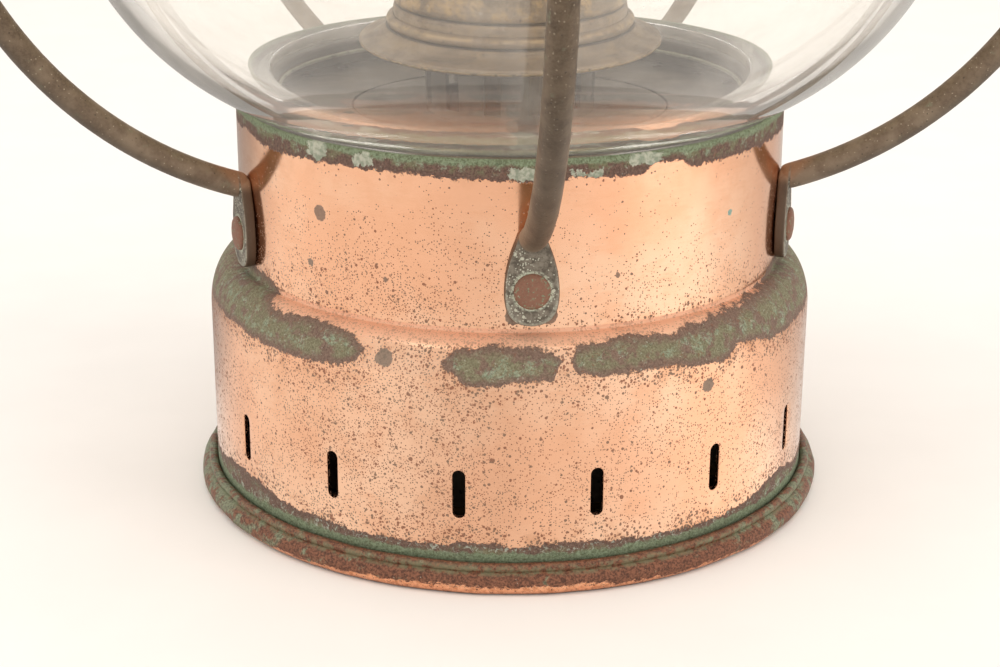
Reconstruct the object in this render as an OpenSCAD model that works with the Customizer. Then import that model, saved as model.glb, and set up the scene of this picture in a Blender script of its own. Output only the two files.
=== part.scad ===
// Copper ship's lantern with an onion-shaped glass globe: spun base with air slots,
// five bent guard rods, hinged ventilated hood, wire bail, and a drop-in oil font
// that carries a round-wick burner and its glass chimney.
// Units are millimetres. Z is up, the foot stands on Z = 0, and the front rod is on -Y.

/* [Base] */
// Outer radius of the drum
drum_r = 78; // [77.5:0.25:78.5]
// Sheet thickness of the spun copper
sheet = 1.2; // [1:0.1:1.4]
// Outer radius of the neck that carries the globe
neck_r = 69.6; // [69.4:0.1:69.8]
// Height of the neck's rim above the floor
rim_z = 102.4; // [102:0.1:103]
// Height of the centre of the air slots
slot_z = 24; // [23.5:0.5:26]
// Height of an air slot from end to end
slot_h = 12; // [10:0.5:13]
// Width of an air slot
slot_w = 3; // [2.4:0.2:3.6]
// Number of air slots round the drum
slot_count = 15; // [12:1:18]

/* [Foot] */
// Outer radius of the rolled bead the lantern stands on
foot_r = 82.3; // [82:0.1:83]
// Thickness of the rolled bead
bead_d = 5.8; // [5.4:0.1:6]

/* [Guard] */
// Diameter of a guard rod
rod_d = 6.35; // [6:0.05:6.6]
// Largest radius of a guard rod's centreline
guard_r = 141.95; // [141:0.25:143]
// Height of the rivet in a guard rod's lower ear
rivet_z = 72.3; // [72:0.1:73]
// Diameter of a rivet's domed head
rivet_head_d = 8; // [7:0.2:8.4]

/* [Glass] */
// Largest outer radius of the globe
globe_r = 110.6; // [110:0.2:111]
// Wall thickness of the globe at its belly; it grows towards the foot
glass_t = 2.3; // [2.1:0.1:2.5]
// Wall thickness of the chimney
chimney_t = 1.6; // [1.4:0.1:1.8]

/* [Burner] */
// Radius of the burner's flared skirt
skirt_r = 38.6; // [38:0.2:39]
// Radius of the burner's air drum
drum_air_r = 28.9; // [28.6:0.1:29.2]
// Radius of the wick knob
knob_r = 8; // [7:0.5:8.5]

/* [Hood and bail] */
// Outer radius of the upper collar
collar_r = 60; // [59.8:0.1:60.2]
// Diameter of the bail's wire
bail_d = 5; // [4.6:0.2:5]
// Angle of the stored bail below the horizontal
bail_drop = 21; // [10:1:21]
// Radius of the vent cap's eaves
eaves_r = 47; // [45:0.5:48]

/* [Hidden] */
$fn = 96;
rod_r = rod_d / 2;
rod_step = 72;
rod_turn = 0.7;
drum_in = drum_r - sheet;
neck_in = neck_r - sheet;
// shoulder between the drum and the neck
sh_z0 = 49.1;
sh_a = 7.8;
sh_b = 12.2;
crease_z = 62.2;
// foot ring
drum_z0 = bead_d;
// globe: a lower arc, an upper arc and a short neck
g_cz = 168.3;
g_rise = 2.4;
g_rho = 72;
g_cr = globe_r - g_rho;
g_rho2 = 119;
g_cr2 = globe_r - g_rho2;
g_low = 70.2;
g_up = 56.5;
g_top = 286;
g_neck = 52.8;
// upper collar
col_z0 = 280;
col_z1 = 311;
col_t = 1.6;
col_in = collar_r - col_t;
ledge_z = 287.6;
up_rivet_z = 290.8;
// guard rod centreline: straight lower end, lower arc, upper arc, upper bend
bend = 6;
ear_t = 2.6;
lo_face = neck_r + 0.15;
lo_r = lo_face + 5.75;
lo_rho = 103.65;
arc_z = 182.8;
lo_cr = guard_r - lo_rho;
lo_a = -acos((lo_r - lo_cr) / lo_rho);
up_face = collar_r + 0.15;
up_r = up_face + rod_r + 0.35;
up_rho = 96;
up_cr = guard_r - up_rho;
up_cz = arc_z + sqrt(pow(up_rho + bend, 2) - pow(up_r + bend - up_cr, 2));
up_a = atan2(up_cz - arc_z, up_r + bend - up_cr);
rivet_r = 2;
// bail
piv_z = 297;
arm_x = 67.5;
arm_l = 85.3;
stud_r = 3;
// hood
hinge_y = 63.5;
hinge_z = 312.5;
skirt_z = col_z1 + 0.3;
knuckle_r = 3;
pin_r = 1.4;
cone_top_r = 37;
cone_z = 342;
vent_r = 36;
vent_z = 364;
cap_z = 386;
crown_z = vent_z + 1 + (cap_z - vent_z - 1) * sin(80);
// font
font_r = 62;
font_z0 = 13.5;
font_z1 = 64;
font_top = 81;
// burner
sk_z = 112.9;
spin_y = -15.2;
spin_z = 141;
wheel_r = 4.2;
wick_in = 8.6;
wick_out = 10.5;

// ---- helpers ----

// points along an arc in the radial plane, from angle a0 to a1
function arc(cr, cz, rho, a0, a1, n) =
    [for (i = [0 : n]) let (a = a0 + (a1 - a0) * i / n) [cr + rho * cos(a), cz + rho * sin(a)]];

// the same with separate radii along and across
function oval(cr, cz, ra, rb, a0, a1, n) =
    [for (i = [0 : n]) let (a = a0 + (a1 - a0) * i / n) [cr + ra * cos(a), cz + rb * sin(a)]];

function reversed(p) = [for (i = [len(p) - 1 : -1 : 0]) p[i]];

// ring of rectangular section
module ring(r0, r1, z0, z1) {
    translate([0, 0, z0])
        difference() {
            cylinder(r = r1, h = z1 - z0);
            translate([0, 0, -1]) cylinder(r = r0, h = z1 - z0 + 2);
        }
}

// cylinder along +Y from y0 to y1, centred on x, z
module ybar(r, x, z, y0, y1) {
    translate([x, y0, z]) rotate([-90, 0, 0]) cylinder(r = r, h = y1 - y0);
}

// cylinder along +X from x0 to x1, centred on y, z
module xbar(r, y, z, x0, x1) {
    translate([x0, y, z]) rotate([0, 90, 0]) cylinder(r = r, h = x1 - x0);
}

// piece of round bar bent to an arc in the radial plane, drawn on -Y
module bent(cr, cz, rho, a0, a1, r) {
    rotate([0, 0, -90])
        translate([cr, 0, cz])
            rotate([90, 0, 0])
                rotate([0, 0, a0])
                    rotate_extrude(angle = a1 - a0)
                        translate([rho, 0]) circle(r = r, $fn = 32);
}

// ---- base ----

module base_shell() {
    color("#b87a5c")
        difference() {
            rotate_extrude()
                polygon(concat(
                    [[drum_in, drum_z0], [drum_r, drum_z0]],
                    oval(drum_r - sh_a, sh_z0, sh_a, sh_b, 0, 90, 18),
                    [[neck_r, crease_z], [neck_r, rim_z - 0.4], [neck_r - 0.4, rim_z]],
                    [[neck_in + 0.4, rim_z], [neck_in, rim_z - 0.4], [neck_in, crease_z - 0.6]],
                    reversed(oval(drum_r - sh_a, sh_z0, sh_a - sheet, sh_b - sheet, 0, 90, 18))
                ));
            for (i = [0 : slot_count - 1])
                rotate([0, 0, 12 + i * 360 / slot_count]) {
                    ybar(slot_w / 2, 0, slot_z + (slot_h - slot_w) / 2, -drum_r - 4, -drum_r + 6);
                    ybar(slot_w / 2, 0, slot_z - (slot_h - slot_w) / 2, -drum_r - 4, -drum_r + 6);
                    translate([-slot_w / 2, -drum_r - 4, slot_z - (slot_h - slot_w) / 2])
                        cube([slot_w, 10, slot_h - slot_w]);
                }
            for (i = [0 : 4])
                rotate([0, 0, i * rod_step + rod_turn])
                    ybar(rivet_r, 0, rivet_z, -neck_r - 5, -neck_r + 6);
        }
}

module foot_ring() {
    br = bead_d / 2;
    color("#7a4a35")
        union() {
            // rolled bead, worn to a narrow flat where it stands
            difference() {
                rotate_extrude() translate([foot_r - br, br - 0.25]) circle(r = br, $fn = 32);
                translate([0, 0, -3]) cylinder(r = foot_r + 5, h = 3);
            }
            ring(71, foot_r - br, bead_d - 1.4, bead_d);
            ring(drum_r + 0.8, drum_r + 2.1, bead_d - 1, bead_d + 1.6);
            ring(drum_in - 1.4, drum_in - 0.2, bead_d - 1, bead_d + 5);
        }
}

module globe_seat() {
    color("#8a5a44")
        union() {
            ring(60.5, neck_in - 0.1, 96.4, 97.6);
            ring(neck_in - 1.1, neck_in - 0.1, 88, 97);
        }
}

module globe_cushion() {
    color("#4b4642") ring(61.5, neck_in - 1.2, 97.6, 100.4);
}

module draught_plate() {
    color("#4a4a48")
        difference() {
            ring(42, neck_in - 1.1, 90, 91.2);
            for (i = [0 : 23])
                rotate([0, 0, i * 15])
                    translate([0, 63.4, 85]) cylinder(r = 1.7, h = 10, $fn = 24);
        }
}

module font_retainer() {
    color("#8a5a44")
        difference() {
            union() {
                ring(67, drum_in - 0.1, 12, 13.2);
                ring(drum_in - 1.1, drum_in - 0.1, 12, 17.8);
            }
            for (i = [0 : 2])
                rotate([0, 0, 30 + i * 120])
                    translate([-7.5, -72.6, 10]) cube([15, 8, 5]);
        }
}

// ---- font ----

module font_base() {
    color("#9a7b45")
        union() {
            translate([0, 0, 11.5]) cylinder(r = 66.4, h = 2);
            for (i = [0 : 2])
                rotate([0, 0, i * 120])
                    intersection() {
                        ring(62.2, 71.6, 13.5, 15.1);
                        translate([-6, -75, 12]) cube([12, 15, 5]);
                    }
        }
}

module font_grip() {
    color("#9a7b45")
        union() {
            translate([-27, -2.5, 3.5]) cube([54, 5, 8]);
            for (s = [-1, 1])
                translate([s * 27, 0, 3.5]) cylinder(r = 5, h = 8, $fn = 48);
        }
}

module font_body() {
    t = 1;
    color("#b08d4e")
        difference() {
            union() {
                rotate_extrude()
                    polygon(concat(
                        [[0, font_z0], [font_r, font_z0]],
                        oval(22, font_z1, font_r - 22, font_top - font_z1, 0, 90, 18),
                        [[19, font_top], [19, font_top - t]],
                        reversed(oval(22, font_z1, font_r - 22 - t, font_top - font_z1 - t, 0, 90, 18)),
                        [[font_r - t, font_z0 + t], [0, font_z0 + t]]
                    ));
                translate([0, 45, 74]) cylinder(r = 8, h = 12);
            }
            translate([0, 45, 70]) cylinder(r = 6.5, h = 20);
        }
}

module font_collar() {
    color("#a8863f")
        union() {
            ring(20.2, 24, font_top, 88);
            ring(20.2, 26.5, font_top, 83);
        }
}

module filler_cap() {
    color("#a8863f")
        translate([0, 45, 0])
            difference() {
                union() {
                    translate([0, 0, 81.2]) cylinder(r = 9.6, h = 6.4);
                    for (i = [0 : 17])
                        rotate([0, 0, i * 20])
                            translate([9.4, -0.7, 81.6]) cube([0.9, 1.4, 5.4]);
                }
                translate([0, 0, 80]) cylinder(r = 8.3, h = 6.4);
            }
}

// ---- burner ----

module burner_base() {
    color("#a8863f")
        difference() {
            union() {
                translate([0, 0, font_top + 0.5]) cylinder(r = 20, h = 8);
                translate([0, 0, 88]) cylinder(r = 24.5, h = 2);
                translate([0, 0, 89.9]) cylinder(r = 41.4, h = 1.1);
                translate([0, 0, 90]) cylinder(r = 22, h = sk_z - 91);
            }
            translate([0, 0, font_top - 1]) cylinder(r = wick_out + 1.4, h = 50);
            translate([0, 0, 91.1]) cylinder(r = 20.8, h = 40);
            translate([0, 45, 85]) cylinder(r = 12, h = 10);
            for (i = [0 : 11])
                rotate([0, 0, i * 30 + 15])
                    translate([-2.2, -30, 95]) cube([4.4, 20, 14]);
        }
}

module burner_skirt() {
    color("#a8863f")
        rotate_extrude()
            polygon(concat(
                [[20, sk_z - 1], [skirt_r - 1, sk_z - 1]],
                arc(skirt_r - 0.9, sk_z - 0.1, 0.9, -90, 60, 8),
                [[36.4, sk_z + 1.1], [34.6, sk_z + 1.7], [33.1, sk_z + 2.5], [31.9, sk_z + 3.7]],
                arc(30.1, sk_z + 5.3, 1.45, -60, 75, 8),
                [[29.8, sk_z + 7.1], [29.8, sk_z], [20, sk_z]]
            ));
}

module burner_drum() {
    color("#9c7c3c")
        difference() {
            union() {
                rotate_extrude()
                    polygon([
                        [drum_air_r - 0.1, sk_z + 0.2], [drum_air_r + 0.8, sk_z + 0.2],
                        [drum_air_r + 0.8, sk_z + 9], [drum_air_r, sk_z + 10],
                        [drum_air_r + 0.6, sk_z + 11.2], [drum_air_r + 0.6, 149],
                        [drum_air_r - 0.2, 150], [13, 150], [13, 149.2],
                        [drum_air_r - 0.4, 149.2], [drum_air_r - 0.4, sk_z + 11.2],
                        [drum_air_r - 0.8, sk_z + 10], [drum_air_r - 0.1, sk_z + 9]
                    ]);
            }
            for (j = [0 : 1])
                for (i = [0 : 23])
                    rotate([0, 0, i * 15 + j * 7.5])
                        ybar(1.3, 0, 131.5 + j * 4.5, -drum_air_r - 5, -drum_air_r + 5);
            xbar(1.56, spin_y, spin_z, -40, 40);
            for (i = [0 : 11])
                rotate([0, 0, i * 30])
                    translate([0, -21, 145]) cylinder(r = 2.2, h = 10, $fn = 24);
        }
}

// outer and inner wick tubes with the web between them at the back
module wick_tube() {
    color("#a8863f")
        difference() {
            union() {
                ring(wick_out + 0.5, wick_out + 1.4, font_top + 0.5, 160);
                ring(wick_in - 1.2, wick_in - 0.4, font_top + 0.5, 160);
                translate([-1, wick_in - 0.6, font_top + 0.5]) cube([2, 3.3, 30]);
                ring(wick_out + 1.2, 13, 149.4, 150);
            }
            translate([-4.6, -14, spin_z - 5.5]) cube([9.2, 5.4, 11]);
        }
}

module wick() {
    color("#e8e2d2")
        difference() {
            ring(wick_in, wick_out, 60, 163);
            translate([-2.6, 5, 50]) cube([5.2, 10, 130]);
        }
}

module wick_spindle() {
    color("#9c7c3c")
        union() {
            xbar(1.5, spin_y, spin_z, -33, 57);
            xbar(3.2, spin_y, spin_z, -3, 3);
            for (i = [0 : 9])
                translate([0, spin_y, spin_z])
                    rotate([i * 36, 0, 0])
                        translate([-3, -0.5, 2.6]) cube([6, 1, wheel_r - 2.6]);
        }
}

module wick_knob() {
    color("#a8863f")
        difference() {
            union() {
                xbar(knob_r - 0.8, spin_y, spin_z, 52, 57.5);
                xbar(4, spin_y, spin_z, 49, 53);
                for (i = [0 : 23])
                    translate([52.5, spin_y, spin_z])
                        rotate([i * 15, 0, 0])
                            translate([0, -0.5, knob_r - 1.4]) cube([4.5, 1, 1.4]);
            }
            xbar(1.5, spin_y, spin_z, 48, 57);
        }
}

module gallery() {
    color("#a8863f")
        difference() {
            union() {
                ring(19, 30.5, 150, 151.4);
                ring(26.6, 27.6, 150.6, 168);
            }
            for (i = [0 : 5])
                rotate([0, 0, i * 60])
                    translate([-11, -36, 156]) cube([22, 16, 20]);
        }
}

module chimney() {
    t = chimney_t;
    color("#cfe3e6", 0.4)
        rotate_extrude()
            polygon(concat(
                [[25.4 - t, 151.6], [25.4, 151.6], [25.4, 168]],
                arc(40, 190, 17.2, 205, 165, 8),
                [[21.2, 214], [20, 240], [20, 305], [20 - t, 305], [20 - t, 240], [21.2 - t, 214]],
                reversed(arc(40, 190, 17.2 + t, 205, 165, 8)),
                [[25.4 - t, 168]]
            ));
}

// ---- glass globe ----

module globe() {
    t = glass_t;
    r_up = g_cr2 + g_rho2 * cos(g_up);
    z_up = g_cz + g_rho2 * sin(g_up);
    color("#cfe3e6", 0.35)
        rotate_extrude()
            polygon(concat(
                arc(g_cr, g_cz, g_rho, -g_low, 0, 40),
                arc(g_cr2, g_cz, g_rho2, 1.5, g_up, 40),
                [[g_neck + 0.6, z_up + 5.5], [g_neck, z_up + 9], [g_neck, g_top]],
                [[g_neck - t, g_top], [g_neck - t, z_up + 8], [g_neck - t + 0.5, z_up + 4]],
                reversed(arc(g_cr2, g_cz + g_rise, g_rho2 - t, 1.2, g_up - 0.9, 40)),
                reversed(arc(g_cr, g_cz + g_rise, g_rho - t, 0.8 - g_low, 0, 40))
            ));
}

// ---- guard ----

// flat ear on the plane y = -face; edge lists its half widths towards the bar
module ear(face, z, dir, edge) {
    translate([0, -face, z])
        rotate([90, 0, 0])
            linear_extrude(height = ear_t)
                union() {
                    translate([0, -2.2 * dir]) circle(r = 6.3, $fn = 64);
                    polygon(concat(
                        [[-6.3, -2.2 * dir], [6.3, -2.2 * dir], [6.3, dir]],
                        [for (e = edge) [e[0], e[1] * dir]],
                        reversed([for (e = edge) [-e[0], e[1] * dir]]),
                        [[-6.3, dir]]
                    ));
                }
}

// the bar's lower end runs straight into its ear
module lower_ear() {
    difference() {
        union() {
            ear(lo_face, rivet_z, 1, [[5.3, 6], [3.9, 10], [3.4, 13], [2.4, 14.4]]);
            difference() {
                translate([0, -lo_r, arc_z + lo_rho * sin(lo_a)])
                    rotate([-180 - lo_a, 0, 0])
                        translate([0, 0, 0.1]) cylinder(r = rod_r, h = 9, $fn = 32);
                translate([-10, -lo_face - 0.5, 60]) cube([20, 40, 60]);
            }
        }
        ybar(rivet_r, 0, rivet_z, -lo_face - ear_t - 1, -lo_face + 1);
    }
}

// the bar's upper end bends up and tapers into its ear
module upper_ear() {
    difference() {
        union() {
            ear(up_face, up_rivet_z, -1, [[5.2, 5], [3.8, 8.2]]);
            intersection() {
                translate([0, -up_r, up_cz]) cylinder(r = rod_r, h = 4, $fn = 32);
                rotate([90, 0, -90])
                    translate([0, 0, -5])
                        linear_extrude(height = 10)
                            polygon([
                                [up_face, up_rivet_z], [up_face + ear_t, up_rivet_z],
                                [up_face + ear_t, up_cz + 3.4], [up_r + rod_r + 0.5, up_cz + 0.5],
                                [up_r + rod_r + 0.5, up_cz - 1], [up_face, up_cz - 1]
                            ]);
            }
        }
        ybar(rivet_r, 0, up_rivet_z, -up_face - ear_t - 1, -up_face + 1);
    }
}

// where two bends of a rod meet: a faint swelling that joins them
module knuckle(cr, cz, rho, a) {
    translate([0, -cr - rho * cos(a), cz + rho * sin(a)])
        sphere(r = rod_r + 0.05, $fn = 32);
}

module guard_rod(i) {
    g = 0.06;
    gb = 1;
    color("#4a3b2b")
        rotate([0, 0, i * rod_step + rod_turn])
            union() {
                lower_ear();
                knuckle(lo_cr, arc_z, lo_rho, lo_a);
                bent(lo_cr, arc_z, lo_rho, lo_a + g, -g, rod_r);
                knuckle(lo_cr, arc_z, lo_rho, 0);
                bent(up_cr, arc_z, up_rho, g, up_a - g, rod_r);
                knuckle(up_cr, arc_z, up_rho, up_a);
                bent(up_r + bend, up_cz, bend, 180 + gb, 180 + up_a - gb, rod_r);
                knuckle(up_r + bend, up_cz, bend, 180);
                upper_ear();
            }
}

module guard_rod_1() { guard_rod(0); }
module guard_rod_2() { guard_rod(1); }
module guard_rod_3() { guard_rod(2); }
module guard_rod_4() { guard_rod(3); }
module guard_rod_5() { guard_rod(4); }

// rivet through an ear and a curved wall; the head is a low dome, the tail spread or flush
module rivet(face, wall_in, z, tail) {
    h = rivet_head_d / 2;
    ybar(rivet_r, 0, z, -face - ear_t, -wall_in + 0.8);
    intersection() {
        translate([0, -face - ear_t + 2.6, z]) sphere(r = sqrt(h * h + 2.6 * 2.6), $fn = 48);
        translate([-8, -face - ear_t - 8, z - 8]) cube([16, 8, 16]);
    }
    ybar(tail, 0, z, -wall_in + 0.1, -wall_in + 1.2);
}

module lower_rivets() {
    color("#7a4a35")
        for (i = [0 : 4])
            rotate([0, 0, i * rod_step + rod_turn]) rivet(lo_face, neck_in, rivet_z, 3.2);
}

module upper_rivets() {
    color("#7a4a35")
        for (i = [0 : 4])
            rotate([0, 0, i * rod_step + rod_turn]) rivet(up_face, col_in, up_rivet_z, rivet_r);
}

// ---- upper collar ----

module top_cushion() {
    color("#4b4642") ring(49.6, 56, g_top + 0.1, ledge_z);
}

module upper_collar() {
    color("#b87a5c")
        difference() {
            union() {
                ring(col_in, collar_r, col_z0, col_z1);
                ring(44, collar_r - 0.5, ledge_z, ledge_z + 1.4);
                rotate_extrude() translate([collar_r - 0.65, col_z0 + 1]) circle(r = 1, $fn = 24);
            }
            for (i = [0 : 4])
                rotate([0, 0, i * rod_step + rod_turn])
                    ybar(rivet_r, 0, up_rivet_z, -collar_r - 5, -collar_r + 6);
            for (i = [0 : 11])
                rotate([0, 0, i * 30 + 15])
                    translate([0, -48, ledge_z - 5]) cylinder(r = 2.2, h = 10, $fn = 24);
        }
}

module bail_studs() {
    color("#a8863f")
        for (s = [0, 1])
            rotate([0, 0, s * 180])
                difference() {
                    union() {
                        xbar(6, 0, piv_z, 52, 64.5);
                        xbar(stud_r, 0, piv_z, 64, 71.5);
                        xbar(5.4, 0, piv_z, 70.6, 72.6);
                    }
                    translate([0, 0, piv_z - 10]) cylinder(r = collar_r, h = 20);
                }
}

// ---- bail ----

module bail() {
    color("#6b4a2e")
        translate([0, 0, piv_z])
            rotate([-90 - bail_drop, 0, 0])
                difference() {
                    union() {
                        for (s = [-1, 1]) {
                            translate([s * arm_x - 2, 0, 0]) rotate([0, 90, 0]) cylinder(r = 6.4, h = 4);
                            translate([s * arm_x, 0, 4]) cylinder(r = bail_d / 2, h = arm_l - 4, $fn = 32);
                        }
                        translate([0, 0, arm_l])
                            rotate([90, 0, 0])
                                rotate_extrude(angle = 180)
                                    translate([arm_x, 0]) circle(r = bail_d / 2, $fn = 32);
                    }
                    xbar(stud_r + 0.07, 0, 0, -80, 80);
                }
}

// ---- hood ----

module hood_cone() {
    t = 1;
    h0 = skirt_z;
    color("#b87a5c")
        union() {
            rotate_extrude()
                polygon(concat(
                    [[col_in - 1.6, h0 - 5], [col_in - 0.7, h0 - 5], [col_in - 0.7, h0]],
                    [[collar_r, h0], [collar_r, h0 + 8.4]],
                    reversed(oval(collar_r, cone_z + 1, collar_r - cone_top_r, cone_z - h0 - 8.4, 180, 268, 20)),
                    [[cone_top_r, cone_z + 3], [cone_top_r - t, cone_z + 3], [cone_top_r - t, cone_z]],
                    oval(collar_r, cone_z, collar_r - cone_top_r + t, cone_z - h0 - 7.4, 180, 266, 20),
                    [[collar_r - t, h0 + 1], [col_in - 1.6, h0 + 1]]
                ));
            rotate_extrude() translate([collar_r - 0.3, h0 + 8.2]) circle(r = 1, $fn = 24);
        }
}

module vent_ring() {
    color("#a8694c")
        difference() {
            ring(vent_r - 1.1, vent_r - 0.1, cone_z - 2, vent_z + 11.8);
            for (i = [0 : 17])
                rotate([0, 0, i * 20]) {
                    ybar(1.8, 0, cone_z + 7, -vent_r - 5, -vent_r + 6);
                    ybar(1.8, 0, vent_z - 5, -vent_r - 5, -vent_r + 6);
                    translate([-1.8, -vent_r - 5, cone_z + 7]) cube([3.6, 11, vent_z - cone_z - 12]);
                }
        }
}

module heat_baffle() {
    color("#6b4a2e")
        union() {
            translate([0, 0, 346]) cylinder(r = 24, h = 1);
            for (i = [0 : 2])
                rotate([0, 0, i * 120])
                    translate([-3, -34.9, 346]) cube([6, 14, 1]);
        }
}

module vent_cap() {
    color("#b87a5c")
        union() {
            rotate_extrude()
                polygon(concat(
                    [[eaves_r, vent_z - 2], [eaves_r, vent_z + 1]],
                    oval(0, vent_z + 1, eaves_r - 3, cap_z - vent_z - 1, 0, 80, 24),
                    [[0, crown_z], [0, cap_z - 2]],
                    oval(0, vent_z + 1, eaves_r - 4, cap_z - vent_z - 2.2, 84, 2, 24),
                    [[eaves_r - 4, vent_z + 1], [eaves_r - 1, vent_z], [eaves_r - 1, vent_z - 2]]
                ));
        }
}

module finial() {
    color("#a8863f")
        union() {
            translate([0, 0, crown_z]) cylinder(r = 7, h = 2.4);
            translate([0, 0, crown_z + 1.5]) cylinder(r = 3, h = 5);
            translate([0, 0, crown_z + 9]) sphere(r = 5, $fn = 48);
        }
}

module hinge_leaf_fixed() {
    color("#a8863f")
        difference() {
            union() {
                translate([-14, collar_r - 3, 297]) cube([28, 4.4, hinge_z - 1.5 - 297]);
                xbar(knuckle_r, hinge_y, hinge_z, -14, 14);
            }
            translate([0, 0, 290]) cylinder(r = collar_r, h = 30);
            translate([-5.3, collar_r - 2, hinge_z - 4]) cube([10.6, 12, 10]);
            xbar(pin_r, hinge_y, hinge_z, -20, 20);
        }
}

module hinge_leaf_moving() {
    color("#a8863f")
        difference() {
            union() {
                translate([-4.9, collar_r - 3, hinge_z]) cube([9.8, 4.4, 5.2]);
                translate([-14, collar_r - 3, hinge_z + 3.6]) cube([28, 4.4, 1.6]);
                xbar(knuckle_r, hinge_y, hinge_z, -4.9, 4.9);
            }
            translate([0, 0, 290]) cylinder(r = collar_r + 0.01, h = 40);
            xbar(pin_r + 0.06, hinge_y, hinge_z, -20, 20);
        }
}

module hinge_pin() {
    color("#7d6430")
        union() {
            xbar(pin_r, hinge_y, hinge_z, -15, 15);
            xbar(2.2, hinge_y, hinge_z, -16, -14);
            xbar(2.2, hinge_y, hinge_z, 14, 16);
        }
}

// spring clasp on the hood: a fork that straddles the stud on the collar
module hood_clasp() {
    color("#a8863f")
        difference() {
            union() {
                translate([-6, -collar_r - 1.6, skirt_z + 0.6]) cube([12, 3, 5]);
                translate([-6, -collar_r - 1.9, 304.6]) cube([12, 1.3, skirt_z + 5 - 304.6]);
                translate([-6, -collar_r - 5.4, 311.4]) cube([12, 4, 1.2]);
            }
            translate([0, 0, 300]) cylinder(r = collar_r + 0.01, h = 30);
            translate([-2.2, -collar_r - 8, 303]) cube([4.4, 12, 5.6]);
        }
}

module clasp_stud() {
    color("#a8863f")
        difference() {
            union() {
                ybar(1.7, 0, 306.6, -collar_r - 2.6, -collar_r + 3);
                ybar(3, 0, 306.6, -collar_r - 3.8, -collar_r - 2.4);
            }
            translate([0, 0, 300]) cylinder(r = collar_r, h = 12);
        }
}

base_shell();
foot_ring();
globe_seat();
globe_cushion();
draught_plate();
font_retainer();
font_base();
font_grip();
font_body();
font_collar();
filler_cap();
burner_base();
burner_skirt();
burner_drum();
wick_tube();
wick();
wick_spindle();
wick_knob();
gallery();
chimney();
globe();
guard_rod_1();
guard_rod_2();
guard_rod_3();
guard_rod_4();
guard_rod_5();
lower_rivets();
upper_rivets();
top_cushion();
upper_collar();
bail_studs();
bail();
hood_cone();
vent_ring();
heat_baffle();
vent_cap();
finial();
hinge_leaf_fixed();
hinge_leaf_moving();
hinge_pin();
hood_clasp();
clasp_stud();
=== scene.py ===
import math

import bmesh
import bpy
import numpy as np
from mathutils import Matrix, Vector, noise


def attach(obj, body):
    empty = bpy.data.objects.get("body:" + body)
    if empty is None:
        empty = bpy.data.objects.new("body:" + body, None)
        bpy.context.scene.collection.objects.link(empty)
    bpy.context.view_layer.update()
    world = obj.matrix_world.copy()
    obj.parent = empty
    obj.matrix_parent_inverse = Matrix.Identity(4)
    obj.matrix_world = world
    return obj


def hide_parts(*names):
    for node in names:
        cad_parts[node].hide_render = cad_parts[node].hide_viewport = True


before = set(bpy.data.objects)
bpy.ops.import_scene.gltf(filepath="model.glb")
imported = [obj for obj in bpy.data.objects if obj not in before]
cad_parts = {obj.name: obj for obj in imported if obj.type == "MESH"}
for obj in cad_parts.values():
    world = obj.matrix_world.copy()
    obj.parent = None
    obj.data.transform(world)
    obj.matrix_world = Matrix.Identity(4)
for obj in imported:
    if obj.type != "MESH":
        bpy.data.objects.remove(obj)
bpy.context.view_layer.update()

# Shapes are worked out in millimetres and scaled once, in build(). An azimuth of 0 is the front, -Y.
MM = 0.001
TAU = 2 * math.pi
ROD_STEP = math.radians(72)
ROD_TURN = math.radians(0.7)


# ---------------------------------------------------------------- profiles

def arc(cr, cz, ra, a0, a1, n, rb=None):
    """Points along an arc or an oval in the radial plane; the angles are in degrees."""
    rb = ra if rb is None else rb
    return [(cr + ra * math.cos(math.radians(a0 + (a1 - a0) * i / n)),
             cz + rb * math.sin(math.radians(a0 + (a1 - a0) * i / n))) for i in range(n + 1)]


def rounded(points, seg=4):
    """A closed outline whose corners (r, z, radius) are rounded."""
    out = []
    n = len(points)
    for i, p in enumerate(points):
        radius = p[2] if len(p) > 2 else 0
        here = np.array(p[:2], float)
        a = np.array(points[i - 1][:2], float) - here
        b = np.array(points[(i + 1) % n][:2], float) - here
        la, lb = np.linalg.norm(a), np.linalg.norm(b)
        if radius <= 0 or la < 1e-9 or lb < 1e-9:
            out.append(tuple(here))
            continue
        a, b = a / la, b / lb
        half = math.acos(max(-1, min(1, float(a @ b)))) / 2
        if half > math.radians(88) or half < math.radians(2):
            out.append(tuple(here))
            continue
        reach = min(radius / math.tan(half), 0.48 * la, 0.48 * lb)
        radius = reach * math.tan(half)
        mid = (a + b) / np.linalg.norm(a + b)
        centre = here + mid * (radius / math.sin(half))
        start, end = here + a * reach - centre, here + b * reach - centre
        sweep = math.pi - 2 * half
        for k in range(seg + 1):
            f = k / seg
            v = (math.sin((1 - f) * sweep) * start + math.sin(f * sweep) * end) / math.sin(sweep)
            out.append(tuple(centre + v))
    return out


def at(r, t, z):
    return (r * math.sin(t), -r * math.cos(t), z)


def quads(rings, count, around, closed):
    """Faces between rings of the same length; around joins each ring's ends, closed joins the last ring to the first."""
    faces = []
    for i in range(rings if closed else rings - 1):
        a, b = i * count, (i + 1) % rings * count
        for j in range(count if around else count - 1):
            k = (j + 1) % count
            faces.append((a + j, a + k, b + k, b + j))
    return faces


def lathe(profile, n=192, closed=True):
    verts = [at(r, TAU * j / n, z) for r, z in profile for j in range(n)]
    return verts, quads(len(profile), n, True, closed)


def turned(part, axis, centre):
    """A part turned about Z is laid along another axis, +X, -X or -Y, and moved to centre."""
    verts, faces = part
    turn = {"+x": lambda x, y, z: (z, y, -x), "-x": lambda x, y, z: (-z, -y, -x),
            "-y": lambda x, y, z: (x, -z, y)}[axis]
    cx, cy, cz = centre
    moved = [turn(*v) for v in verts]
    return [(x + cx, y + cy, z + cz) for x, y, z in moved], faces


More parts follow.
